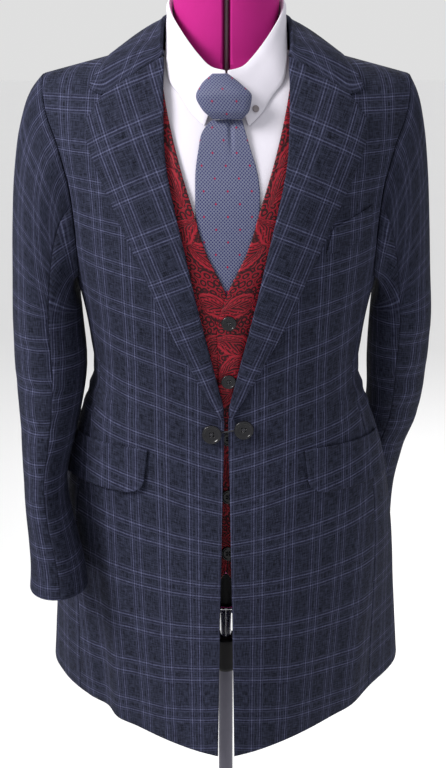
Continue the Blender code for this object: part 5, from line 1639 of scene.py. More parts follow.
    def flat_piece(
        self, name: str, places: Places, lift: Callable, wall_of: float, sides: Sequence[int]
    ) -> None:
        """A small piece that lies on the front, its pattern matched to it.

        Args:
            name: The node's name, without its side where it has one on each.
            places: Its grid.
            lift: Its outer offset.
            wall_of: Its thickness.
            sides: The wearer's sides that have it.
        """
        outer = refined(self.patterned(places, lay(places, lift)), 4, 5)
        inner = refined(array_of(lay(places, deeper(lift, wall_of))), 4, 5)
        outer, inner = edged(self.slanted(outer), inner, FLAT_EDGE)
        for side in sides:
            label = f"{name}_{side_name(side)}" if len(sides) > 1 else name
            cloth_piece(label, outer, inner, Dress.WOOL, side)

    def flaps(self) -> None:
        """The hip flaps, from the front round onto the side body, free below their top seam."""
        places = []
        for i in range(FLAP_ROWS + 1):
            t = i / FLAP_ROWS
            x, z = lerp(*self.flap_front, t), lerp(self.flap_top, self.flap_low, t)
            row = row_between(front_place(x, z), (BODY.u_of_share(self.flap_share, z), z - 0.004), FLAP_COLS)
            if i == FLAP_ROWS:
                row[0] = (front_place(x + 0.001, z)[0], z + 0.0075)
                row[1] = (row[1][0] - 0.010, z + 0.0010)
            places.append(row)

        def lift(i: int, j: int, u: float, z: float) -> float:
            """Free of the skirt below its top seam."""
            return FLAP_WALL + 0.0008 + 0.0035 * (i / FLAP_ROWS) ** 2

        self.flat_piece("coat_flap", places, lift, FLAP_WALL, (1, -1))

    def breast_welt(self) -> None:
        """The slanted welt of the breast pocket, on the wearer's left."""
        (x0, z0), (x1, z1), (x2, z2), (x3, z3) = self.welt
        places = []
        for t in (0.0, 0.5, 1.0):
            start = front_place(lerp(x0, x3, t), lerp(z0, z3, t))
            places.append(row_between(start, front_place(lerp(x1, x2, t), lerp(z1, z2, t)), 4))
        wall_of = self.welt_wall
        self.flat_piece("coat_breast_welt", places, lambda *_: wall_of + 0.0007, wall_of, (1,))

    def closure(self) -> None:
        """The two front buttons and the thread link that joins them."""
        for side, (x, z) in COAT_BUTTONS.items():
            place = front_place(x, z)
            normal, seat = BODY.normal(*place), BODY.point(*place, 0.0032)
            button = Button(self.button_radius, self.button_rise)
            name = f"coat_button_{side_name(side)}"
            button.sew(name, on_side(seat, side), on_side(normal, side))
        (left_x, left_z), (right_x, right_z) = COAT_BUTTONS[1], COAT_BUTTONS[-1]
        bm = bmesh.new()
        rings = []
        for i in range(25):
            t = i / 24
            x, z = lerp(0.002 - right_x, left_x - 0.002, t), lerp(right_z, left_z, t)
            y = BODY.point(*front_place(max(abs(x), CENTRE_EDGE), z), 0.0021).y
            reach = LINK_RADIUS * (1 + 0.14 * math.sin(i * 2.1))
            turns = [2 * math.pi * k / 12 + i * 0.5 for k in range(12)]
            rings.append([bm.verts.new((x, y + reach * math.cos(a), z + reach * math.sin(a))) for a in turns])
        capped_loft(bm, rings)
        hard_piece("coat_button_link_thread", bm, Dress.THREAD, ["coat_button_link"])

    def build(self) -> None:
        """Makes the whole coat."""
        self.body()
        self.collar()
        self.sleeves()
        self.flaps()
        self.breast_welt()
        self.closure()


SKIRT_FOLDS = {
    1: ((62.0, 8.0, 0.0030), (80.0, 9.0, -0.0030), (120.0, 14.0, 0.0018), (150.0, 12.0, -0.0012)),
    -1: ((50.0, 7.0, 0.0042), (61.0, 6.0, -0.0046), (84.0, 10.0, 0.0026), (130.0, 14.0, 0.0030)),
}
ELBOW_CREASES = {
    1: ((1.085, 0.5, 0.010, 0.0026), (1.045, 0.3, 0.009, 0.0030),
        (1.005, -0.2, 0.010, 0.0026), (0.955, -0.5, 0.012, 0.0018)),
    -1: ((1.080, 0.6, 0.010, 0.0028), (1.040, 0.3, 0.009, 0.0032),
         (1.000, -0.2, 0.010, 0.0028), (0.950, -0.6, 0.012, 0.0020)),
}
RIGHT_CAP = Cap((0.0400, -0.0300), (-0.0060, 0.120))
LEFT_CAP = Cap((0.0248, -0.0312), (-0.0100, 0.130))
UNDER_CAP = Cap((0.0095, -0.0030), (0.0, 0.022))
COAT_BUTTONS = {1: (0.0192, 1.0250), -1: (0.0160, 1.0195)}
LINK_RADIUS = 0.0009
FLAP_WALL = 0.0020
FLAP_COLS = 7
FLAP_ROWS = 4


def deeper(lift: Callable[..., float], thick: float) -> Callable[..., float]:
    """The inner offset of a wall whose outer offset is lift."""
    return lambda i, j, u, z: lift(i, j, u, z) - thick


def drawn_in(grid: np.ndarray, gap: float) -> np.ndarray:
    """Draws in the first and last column of a grid by a gap."""
    for edge, near in ((0, 1), (-1, -2)):
        step = grid[:, near, :3] - grid[:, edge, :3]
        length = np.maximum(np.linalg.norm(step, axis=-1, keepdims=True), 1e-9)
        grid[:, edge, :3] += step / length * gap
    return grid


def level_out(point: Vector) -> Vector:
    """The level direction away from the neck."""
    return Vector((point.x, point.y, 0.0)).normalized()


def turned_down(
    foot: Vector, crest: Vector, edge: Vector, radius: float, count: int, bulge: float
) -> list[Vector]:
    """A collar's line: up the stand, over the crest and down the fall.

    Args:
        foot: The foot of the stand.
        crest: The top of the roll.
        edge: The end of the fall.
        radius: The roll's radius.
        count: The fall's steps.
        bulge: How far the fall stands out.

    Returns:
        The line's points.
    """
    out = level_out(crest)
    inside = crest - out * radius - Vector((0, 0, radius))
    outside = crest + out * radius - Vector((0, 0, radius))
    lean = (level_out(outside) + Vector((0, 0, 1))).normalized()
    fall = [
        outside.lerp(edge, c / count) + lean * bulge * math.sin(math.pi * c / count) for c in range(count + 1)
    ]
    return [foot, foot.lerp(inside, 0.55), inside, crest] + fall


def ridge_place(x: float, y: float) -> Place:
    """The place at x on the shoulder's rounding whose depth is y: in front if y is negative."""
    place = back_place if y > 0 else front_place
    low, high = 0.0, 0.09
    for _ in range(30):
        drop = (low + high) / 2
        if abs(BODY.at(*place(x, shoulder_z(x) - drop)).y) < abs(y):
            low = drop
        else:
            high = drop
    return place(x, shoulder_z(x) - (low + high) / 2)


def turned_collar(half: Rows, thick: float, rows: int, cols: int) -> tuple[np.ndarray, np.ndarray]:
    """Both fine grids of a collar, from the half that ends at the centre back.

    Args:
        half: Lines from the front to the centre back.
        thick: The wall.
        rows: Steps for each span round the neck.
        cols: Steps for each span across.

    Returns:
        The outer and the inner fine grid.
    """
    for p in half[-1]:
        p.x = 0.0
    full = mirrored(half)[:-1] + half[::-1]

    def outward(i: int, j: int) -> Vector:
        """To the neck on the stand, away and up on the fall."""
        level = level_out(full[i][j])
        if j < STAND_COLS - 1:
            return -level
        return Vector((0, 0, 1)) if j == STAND_COLS - 1 else level * 0.8 + Vector((0, 0, 1))

    normals = grid_normals(full, False, outward)
    return tuple(refined(array_of(g), rows, cols) for g in (full, moved(full, normals, -thick)))


def capped_loft(bm: bmesh.types.BMesh, rings: Sequence[Sequence[bmesh.types.BMVert]]) -> None:
    """Faces through closed rings, with a fan over each end."""
    count = len(rings[0])
    for low, high in zip(rings, rings[1:]):
        for k in range(count):
            n = (k + 1) % count
            bm.faces.new((low[k], low[n], high[n], high[k]))
    for ring in (rings[0], rings[-1]):
        middle = bm.verts.new(sum((v.co for v in ring), Vector()) / count)
        for k in range(count):
            bm.faces.new((ring[k], ring[(k + 1) % count], middle))
    face_outwards(bm)


# A button's turned outline as shares of its radius and its rise, and its threads' own steps.
BUTTON_OUTLINE = ((0.0, 0.62), (0.52, 0.60), (0.70, 0.70), (0.80, 1.0), (0.93, 0.97),
                  (1.0, 0.5), (0.90, 0.12), (0.72, 0.0), (0.0, 0.0))
THREAD_STEPS = 8
THREAD_SIDES = 6


@dataclass
class Button:
    """A rimmed button with four holes and its crossed thread."""

    radius: float
    rise: float
    steps: int = 40
    hole: float = 0.085
    spread: float = 0.20

    def profile(self) -> list[tuple[float, float]]:
        """From the middle of the face, over the rim, to the back."""
        corners = [(self.radius * out, self.rise * up) for out, up in BUTTON_OUTLINE]
        return rounded(corners, self.radius * 0.05)

    def holed(self) -> bmesh.types.BMesh:
        """The turned button with its holes sunk into the middle of its face."""
        blank = mesh_of("button_blank", turned(self.profile(), self.steps))
        drill = bmesh.new()
        radius, low = self.radius * self.hole, self.rise * 0.25
        for k in range(4):
            turn = math.pi / 4 + k * math.pi / 2
            centre = Vector((math.cos(turn), math.sin(turn), 0)) * self.radius * self.spread
            hole = turned([(0.0, self.rise), (radius, self.rise), (radius, low), (0.0, low)], 12)
            bmesh.ops.translate(hole, verts=hole.verts, vec=centre)
            drill.from_mesh(mesh_of("drill", hole))
        return cut_mesh(blank, mesh_of("drills", drill))

    def thread(self, bm: bmesh.types.BMesh, turn: float) -> None:
        """One of the crossed threads, whose ends dip into two holes.

        Args:
            bm: The button's mesh.
            turn: Which way it runs.
        """
        reach, thick = self.radius * self.spread * 1.02, self.radius * 0.045
        along = Vector((math.cos(turn), math.sin(turn), 0))
        beside = Vector((-along.y, along.x, 0))
        rings = []
        for i in range(THREAD_STEPS + 1):
            s = 2 * i / THREAD_STEPS - 1
            height = self.rise * (0.66 - 0.30 * s**6) + thick * 0.6
            middle = along * reach * s + Vector((0, 0, height))
            ring = []
            for k in range(THREAD_SIDES):
                a = 2 * math.pi * k / THREAD_SIDES
                up = Vector((0, 0, thick * math.sin(a)))
                ring.append(bm.verts.new(middle + beside * thick * 1.6 * math.cos(a) + up))
            rings.append(ring)
        before = len(bm.faces)
        for low, high in zip(rings, rings[1:]):
            for k in range(THREAD_SIDES):
                n = (k + 1) % THREAD_SIDES
                bm.faces.new((low[k], low[n], high[n], high[k])).material_index = 1
        for ring in (rings[0], rings[-1]):
            bm.faces.new(ring).material_index = 1
        bm.faces.ensure_lookup_table()
        bmesh.ops.recalc_face_normals(bm, faces=bm.faces[before:])

    def sew(self, node: str, centre: Vector, facing: Vector) -> None:
        """Puts the button in place of its solid, its back at the centre given.

        Args:
            node: The solid's name.
            centre: Where its back lies.
            facing: Which way its face looks.
        """
        mesh = mesh_of("button_part", self.holed())
        bm = bmesh.new()
        bm.from_mesh(mesh)
        for face in bm.faces:
            face.material_index = 0
        for turn in (math.pi / 4, -math.pi / 4):
            self.thread(bm, turn)
        aimed(bm, centre, facing)
        obj = add_mesh(f"{node}_turned", bm, Dress.HORN.value.make(), Dress.THREAD.value.make())
        obj.data.uv_layers.new(name="cloth")
        dressed(obj, [node])


def cut_mesh(blank: bpy.types.Mesh, cutter: bpy.types.Mesh) -> bmesh.types.BMesh:
    """One mesh with another cut out of it.

    Args:
        blank: The mesh.
        cutter: What is cut out.

    Returns:
        The result.
    """
    objs = [placed("blank", blank), placed("cutter", cutter)]
    cut = objs[0].modifiers.new("cut", "BOOLEAN")
    cut.object, cut.operation = objs[1], "DIFFERENCE"
    graph = bpy.context.evaluated_depsgraph_get()
    result = bpy.data.meshes.new_from_object(objs[0].evaluated_get(graph))
    for obj in objs:
        bpy.data.objects.remove(obj, do_unlink=True)
    bm = bmesh.new()
    bm.from_mesh(result)
    return bm


# The vest's fronts: the neck edge, then the lap, and the armhole or the side seam.
VEST_ROWS = {
    "edge_x": (0.0765, 0.0690, 0.0620, 0.0500, 0.0355, 0.0225, 0.0016, VEST_LAP_X, VEST_LAP_X,
               VEST_LAP_X, VEST_LAP_X, VEST_LAP_X, VEST_LAP_X),
    "edge_z": (0.0, 1.4000, 1.3660, 1.3180, 1.2700, 1.2270, 1.1840, 1.1480, 1.1080, 1.0680, 1.0320,
               0.9980, 0.9600),
    "side_x": (0.1400, 0.1350, 0.1310, 0.1310, 0.1400, 0.1560, 0.0, 0.0, 0.0, 0.0, 0.0, 0.0, 0.0),
    "side_z": (0.0, 1.3650, 1.3250, 1.2800, 1.2350, 1.2000, 1.1650, 1.1400, 1.1050, 1.0680, 1.0320,
               1.0000, 0.9680),
}
VEST_HEM = ((VEST_LAP_X, 0.858), (0.0125, 0.836), (0.0205, 0.827), (0.0450, 0.800), (0.0750, 0.832),
            (0.1050, 0.862))
VEST_HEM_SIDE = 0.905
VEST_LAP_FOLD = 0.022
VEST_LAP_STEP = 0.008
VEST_COLS = 6
SIDE_SHARE = 0.5
UNDER_SHARES = (0.08, 0.30, 0.62)
VEST_RAISE = VEST_WALL + LAYER_GAP
VEST_BACK_LEVELS = (1.165, 1.140, 1.105, 1.068, 1.032, 1.000, 0.968, 0.9365, 0.905)
NECK_X = 0.0765
ARMHOLE_X = 0.140
NECK_COLS = 3
VEST_BUTTON_TOP = 1.149
VEST_BUTTON_STEP = 0.0690
VEST_BUTTON_X = 0.0025
VEST_BUTTON_LIFTS = (0.0002, 0.0010, 0.0012, 0.0006, 0.0010)


@dataclass
class Vest:
    """The brocade vest: two fronts, the left lapped over the right, the back and five buttons."""

    back_neck: float = 1.428
    back_sides: tuple = ((1.395, 0.135, 1.375), (1.350, 0.131, 1.335), (1.300, 0.134, 1.290),
                         (1.250, 0.146, 1.240), (1.205, 0.160, 1.200))
    button_radius: float = 0.0085
    button_rise: float = 0.0030

    def front_places(self) -> Places:
        """The grid of a front, with two columns beside its edge for the lap."""
        rows = []
        for index, edge_x in enumerate(VEST_ROWS["edge_x"]):
            edge_z = VEST_ROWS["edge_z"][index] or shoulder_z(edge_x)
            side_x = VEST_ROWS["side_x"][index]
            side_z = VEST_ROWS["side_z"][index] or shoulder_z(side_x)
            side = front_place(side_x, side_z) if side_x else side_seam_place(side_z, -SEAM_GAP / 2)
            inner = [front_place(edge_x, edge_z), front_place(edge_x + VEST_LAP_FOLD, edge_z)]
            step = front_place(edge_x + VEST_LAP_FOLD + VEST_LAP_STEP, edge_z)
            if index == 0:
                inner = [front_place(x, shoulder_z(x)) for x in (edge_x, edge_x + VEST_LAP_FOLD * 0.7)]
                step = front_place(edge_x + VEST_LAP_FOLD, shoulder_z(edge_x + VEST_LAP_FOLD))
            rows.append(inner + row_between(step, side, VEST_COLS - 2))
        rows[1:1] = rows_below_shoulder(rows[0], rows[1], UNDER_SHARES, front_place)
        hem = [front_place(x, z) for x, z in VEST_HEM] + [side_seam_place(VEST_HEM_SIDE, -SEAM_GAP / 2)]
        rows.append([(lerp(a[0], b[0], 0.5), lerp(a[1], b[1], 0.5)) for a, b in zip(rows[-1], hem)])
        return rows + [hem]

    def front(self, side: int) -> None:
        """One front, whose lap stands over the other on the wearer's left."""
        places = self.front_places()
        first_lapped = VEST_ROWS["edge_x"].index(0.0016) + len(UNDER_SHARES)
        layer = inner_layer("vest")

        def lifted(i: int, j: int, u: float, z: float) -> float:
            """The layer's depth, raised where it laps."""
            return layer(i, j, u, z) + (VEST_RAISE if side > 0 and i >= first_lapped and j < 2 else 0.0)

        coarse = array_of(lay(places, lifted))
        outer = measured(refined(coarse, 5, 5), 0)
        inner = refined(array_of(lay(places, deeper(lifted, VEST_WALL))), 5, 5)
        outer[..., 4] = outer[..., 2]
        outer, inner = edged(outer, inner, Edge(0.0012, 0.0004))
        label = f"vest_front_{side_name(side)}"
        cloth_piece(label, outer, inner, Dress.BROCADE, side)

    def build(self) -> None:
        """Makes the whole vest."""
        layer = inner_layer("vest")
        for side in (1, -1):
            self.front(side)
        half = under_half(True, self.back_neck, self.back_sides, VEST_BACK_LEVELS)
        hidden_back("vest_back", half, layer, VEST_WALL, Dress.BROCADE)
        for index in range(5):
            place = front_place(VEST_BUTTON_X, VEST_BUTTON_TOP - index * VEST_BUTTON_STEP)
            seat = BODY.point(*place, layer(0, 0, *place) + VEST_RAISE + VEST_BUTTON_LIFTS[index])
            button = Button(self.button_radius, self.button_rise, 32)
            button.sew(f"vest_button_{index + 1}", seat, BODY.normal(*place))


def inner_layer(name: str) -> Callable[..., float]:
    """How far out a hidden layer's outer surface lies at each place."""
    return lambda i, j, u, z: table(INNER_LAYERS, name, z)


def side_seam_place(z: float, gap: float) -> Place:
    """The vest's and the shirt's side seam."""
    return BODY.u_of_arc(SIDE_SHARE * BODY.section(z)["arc"][-1] + gap, z), z


def under_half(behind: bool, neck_z: float, side_rows: tuple, levels: tuple, columns: int = 6) -> Places:
    """Half of a hidden layer: its top follows the neckline and then the shoulder.

    Args:
        behind: Whether it is a back.
        neck_z: The neckline's height at the centre.
        side_rows: Height at the centre, then x and height at the armhole, of each upper row.
        levels: Heights of the rows below the armhole.
        columns: How many steps across.

    Returns:
        The grid, centre first.
    """
    place = back_place if behind else front_place
    outer_cols = columns - NECK_COLS
    xs = [NECK_X * j / NECK_COLS for j in range(NECK_COLS)]
    xs += [lerp(NECK_X, ARMHOLE_X, j / outer_cols) for j in range(outer_cols + 1)]
    top = []
    for x in xs:
        z = shoulder_z(x)
        if x < NECK_X:
            z = lerp(neck_z, shoulder_z(NECK_X), (x / NECK_X) ** 2)
        top.append((1.0, z) if behind and x == 0 else place(x, z))
    centre = 1.0 if behind else 0.0
    rows = [top]
    rows += [row_between((centre, z), place(x, side_z), columns) for z, x, side_z in side_rows]
    rows[1:1] = rows_below_shoulder(top, rows[1], UNDER_SHARES, place)
    gap = SEAM_GAP / 2 if behind else -SEAM_GAP / 2
    return rows + [row_between((centre, z), side_seam_place(z, gap), columns) for z in levels]


def across(half: Rows) -> Rows:
    """Joins a half grid, whose first column lies on the centre plane, to its mirror."""
    for row in half:
        row[0].x = 0.0
    return [[on_side(p, -1) for p in row[:0:-1]] + row for row in half]


def hidden_back(name: str, half: Places, layer: Callable, thick: float, finish: Dress) -> None:
    """A back that lies under the coat.

    Args:
        name: Its node.
        half: Half of its grid.
        layer: Its depth.
        thick: Its wall.
        finish: Its cloth.
    """
    outer = refined(array_of(across(lay(half, layer))), 3, 3)
    inner = refined(array_of(across(lay(half, deeper(layer, thick)))), 3, 3)
    outer, inner = edged(measured(outer, outer.shape[1] // 2), inner, Edge(0.0012, thick * 0.3))
    cloth_piece(name, outer, inner, finish)


SHIRT_LEVELS = (1.165, 1.140, 1.105, 1.068, 1.045)
# The shirt collar from its front round to the centre back: the foot of its stand, its crest and
# the outer edge of its leaf. The first rows of the leaf lie on the shirt and end in its point.
SHIRT_COLLAR_ROWS = {
    "foot": ((0.0012, -0.0850, 1.3990), (0.0150, -0.0780, 1.4010), (0.0250, -0.0690, 1.4080),
             (0.0360, -0.0590, 1.4180), (0.0470, -0.0440, 1.4270), (0.0575, -0.0230, 1.4350),
             (0.0612, -0.0020, 1.4400), (0.0590, 0.0140, 1.4410), (0.0500, 0.0285, 1.4415),
             (0.0275, 0.0455, 1.4420), (0.0, 0.0520, 1.4420)),
    "crest": ((0.0012, -0.0880, 1.4110), (0.0170, -0.0805, 1.4150), (0.0280, -0.0720, 1.4250),
              (0.0390, -0.0620, 1.4380), (0.0500, -0.0470, 1.4530), (0.0600, -0.0250, 1.4690),
              (0.0630, -0.0020, 1.4815), (0.0605, 0.0145, 1.4860), (0.0515, 0.0295, 1.4890),
              (0.0285, 0.0475, 1.4910), (0.0, 0.0545, 1.4920)),
    "leaf": ((0.0236, 0.0, 1.3580), (0.0384, 0.0, 1.3718), (0.0500, 0.0, 1.3880),
             (0.0615, 0.0, 1.4020), (0.0650, -0.0560, 1.4200), (0.0662, -0.0270, 1.4400),
             (0.0668, -0.0020, 1.4440), (0.0645, 0.0155, 1.4450), (0.0550, 0.0315, 1.4455),
             (0.0305, 0.0505, 1.4460), (0.0, 0.0575, 1.4460)),
}
LEAF_LAID = 4
LEAF_OFF = -0.0066
LEAF_COLS = 3
SNAP_OUTLINE = ((0.0, 0.0012), (0.0016, 0.0013), (0.0022, 0.0018), (0.0033, 0.0017),
                (0.0038, 0.0009), (0.0034, 0.0), (0.0, 0.0))
SNAP_ACROSS = 0.70
SNAP_UP = 0.45


@dataclass
class Shirt:
    """The white shirt: two fronts, a back and the turned-down collar with its small snap."""

    front_neck: float = 1.398
    front_sides: tuple = ((1.385, 0.135, 1.365), (1.345, 0.131, 1.325), (1.300, 0.131, 1.280),
                          (1.255, 0.140, 1.235), (1.215, 0.156, 1.200))
    back_sides: tuple = ((1.395, 0.135, 1.375), (1.350, 0.131, 1.335), (1.300, 0.134, 1.290),
                         (1.250, 0.146, 1.240), (1.205, 0.158, 1.200))

    def fronts(self) -> None:
        """Both fronts."""
        layer = inner_layer("shirt")
        places = under_half(False, self.front_neck, self.front_sides, SHIRT_LEVELS)
        places = [[(BODY.u_of_arc(SEAM_GAP / 2, row[0][1]), row[0][1])] + row[1:] for row in places]
        outer = refined(array_of(lay(places, layer)), 4, 5)
        inner = refined(array_of(lay(places, deeper(layer, SHIRT_WALL))), 4, 5)
        outer, inner = edged(measured(outer, 0), inner, Edge(0.0012, 0.0003))
        for side in (1, -1):
            label = f"shirt_front_{side_name(side)}"
            cloth_piece(label, outer, inner, Dress.COTTON, side)

    def collar(self) -> None:
        """The collar, its edge stitching and its snap."""
        half = []
        for index, leaf in enumerate(SHIRT_COLLAR_ROWS["leaf"]):
            foot, crest = (Vector(SHIRT_COLLAR_ROWS[key][index]) for key in ("foot", "crest"))
            laid = index < LEAF_LAID
            edge = BODY.point(*front_place(leaf[0], leaf[2]), LEAF_OFF) if laid else Vector(leaf)
            bulge = 0.0015 if laid else 0.0003
            half.append(turned_down(foot, crest, edge, SHIRT_CREST, LEAF_COLS, bulge))
        outer, inner = turned_collar(half, SHIRT_WALL, 4, 4)
        outer = measured(outer, outer.shape[1] - 1)
        self.seam(outer)
        outer, inner = edged(outer, inner, Edge(0.0010, 0.0004))
        cloth_piece("shirt_collar", outer, inner, Dress.COTTON)
        front, side = half[0], half[1]
        seat = front[-1].lerp(front[-2], SNAP_UP).lerp(side[-1].lerp(side[-2], SNAP_UP), SNAP_ACROSS)
        normal = (side[-1] - front[-1]).cross(front[-2] - front[-1]).normalized()
        bm = turned(rounded(SNAP_OUTLINE, 0.0002), 32)
        aimed(bm, seat + normal * 2 * SEAM_GAP, normal)
        name = "shirt_collar_snap"
        hard_piece(f"{name}_turned", bm, Dress.GREY_PLASTIC, [name])

    def seam(self, outer: np.ndarray) -> None:
        """The stitching that follows the leaves' outer edge."""
        normal = normals_of(outer, outer - np.array([0, -1.0, 0, 0, 0]))
        edge = outer[:, -1, :3]
        near = outer[:, -2, :3]
        step = (near - edge) / np.maximum(np.linalg.norm(near - edge, axis=-1, keepdims=True), 1e-9)
        line = edge + step * 0.0045 + normal[:, -1] * 0.0001
        stitches("shirt_collar_stitches", [line[2:-2]], Stitch(0.0032, 0.0021, 0.00022), Dress.COTTON)

    def build(self) -> None:
        """Makes the whole shirt."""
        self.fronts()
        half = under_half(True, 1.428, self.back_sides, SHIRT_LEVELS)
        hidden_back("shirt_back", half, inner_layer("shirt"), SHIRT_WALL, Dress.COTTON)
        self.collar()


@dataclass(frozen=True)
class Stitch:
    """One kind of stitch: how far apart, how long and how thick."""

    spacing: float
    length: float
    thick: float


def stitch_tree(material: bpy.types.Material) -> bpy.types.NodeTree:
    """The tree that sews stitches along a line of edges, built once for each thread.

    Args:
        material: The thread.

    Returns:
        The tree, with inputs Spacing, Length and Thickness.
    """
    name = f"sewn_{material.name}"
    found = bpy.data.node_groups.get(name)
    if found:
        return found
    tree = bpy.data.node_groups.new(name, "GeometryNodeTree")
    tree.interface.new_socket("Geometry", in_out="INPUT", socket_type="NodeSocketGeometry")
    for key in ("Spacing", "Length", "Thickness"):
        tree.interface.new_socket(key, in_out="INPUT", socket_type="NodeSocketFloat")
    tree.interface.new_socket("Geometry", in_out="OUTPUT", socket_type="NodeSocketGeometry")

    def node(kind: str, **settings: object) -> bpy.types.Node:
        """A new node of the tree."""
        made = tree.nodes.new(kind)
        for key, value in settings.items():
            setattr(made, key, value)
        return made

    def link(source: bpy.types.NodeSocket, target: bpy.types.NodeSocket) -> None:
        """A new link of the tree."""
        tree.links.new(source, target)

    start, end = node("NodeGroupInput"), node("NodeGroupOutput")
    curve = node("GeometryNodeMeshToCurve")
    evenly = node("GeometryNodeResampleCurve", mode="LENGTH")
    bead = node("GeometryNodeMeshIcoSphere")
    bead.inputs["Subdivisions"].default_value = 1
    bead.inputs["Radius"].default_value = 0.5
    size = node("ShaderNodeCombineXYZ")
    place = node("GeometryNodeInstanceOnPoints")
    tangent = node("GeometryNodeInputTangent")
    turn = node("FunctionNodeAlignRotationToVector", axis="X")
    real = node("GeometryNodeRealizeInstances")
    paint = node("GeometryNodeSetMaterial")
    paint.inputs["Material"].default_value = material
    link(start.outputs["Geometry"], curve.inputs[0])
    link(curve.outputs[0], evenly.inputs["Curve"])
    link(start.outputs["Spacing"], evenly.inputs["Length"])
    link(start.outputs["Length"], size.inputs["X"])
    link(start.outputs["Thickness"], size.inputs["Y"])
    link(start.outputs["Thickness"], size.inputs["Z"])
    link(evenly.outputs[0], place.inputs["Points"])
    link(bead.outputs["Mesh"], place.inputs["Instance"])
    link(tangent.outputs[0], turn.inputs["Vector"])
    link(turn.outputs[0], place.inputs["Rotation"])
    link(size.outputs[0], place.inputs["Scale"])
    link(place.outputs[0], real.inputs[0])
    link(real.outputs[0], paint.inputs["Geometry"])
    link(paint.outputs[0], end.inputs[0])
    return tree


def stitches(name: str, lines: Sequence[np.ndarray], stitch: Stitch, finish: Dress) -> None:
    """Sews stitches along lines of points and makes them one plain piece.

    Args:
        name: The piece's name.
        lines: The lines.
        stitch: The kind of stitch.
        finish: The thread's finish.
    """
    bm = bmesh.new()
    for line in lines:
        verts = [bm.verts.new(p) for p in line]
        for a, b in zip(verts, verts[1:]):
            bm.edges.new((a, b))
    obj = placed(name, mesh_of(name, bm))
    sewn = obj.modifiers.new("sewn", "NODES")
    sewn.node_group = stitch_tree(finish.value.make())
    values = {"Spacing": stitch.spacing, "Length": stitch.length, "Thickness": stitch.thick * 2}
    for item in sewn.node_group.interface.items_tree:
        if item.item_type == "SOCKET" and item.in_out == "INPUT" and item.name in values:
            sewn[item.identifier] = values[item.name]
    bpy.context.view_layer.update()
    result = bpy.data.meshes.new_from_object(obj.evaluated_get(bpy.context.evaluated_depsgraph_get()))
    obj.modifiers.clear()
    obj.data = result
    if not result.uv_layers:
        result.uv_layers.new(name="cloth")
    else:
        result.uv_layers[0].name = "cloth"
    if not result.materials:
        result.materials.append(finish.value.make())
    dressed(obj, [])


# The tie: the knot's rings and the blade's edges (wearer's right, wearer's left).
KNOT_RINGS = {
    "z": (1.3625, 1.3720, 1.3860, 1.3980, 1.4080),
    "right": (-0.0145, -0.0250, -0.0318, -0.0260, -0.0150),
    "left": (0.0165, 0.0240, 0.0262, 0.0150, 0.0015),
    "back": (-0.1070, -0.1050, -0.1015, -0.0970, -0.0930),
    "front": (-0.1150, -0.1190, -0.1185, -0.1120, -0.1030),
}
BLADE_ROWS = {
    "z": (1.177, 1.215, 1.240, 1.2754, 1.290, 1.312, 1.335, 1.349, 1.357, 1.3629),
    "right": (-0.0060, -0.0200, -0.0300, -0.0335, -0.0335, -0.0330, -0.0295, -0.0265, -0.0215, -0.0150),
    "left": (0.0070, 0.0220, 0.0330, 0.0360, 0.0358, 0.0325, 0.0250, 0.0205, 0.0182, 0.0168),
    "off": (-0.0068, -0.0068, -0.0068, -0.0068, -0.0067, -0.0060, -0.0042, -0.0030, -0.0024, -0.0022),
}
BLADE_COLS = 6


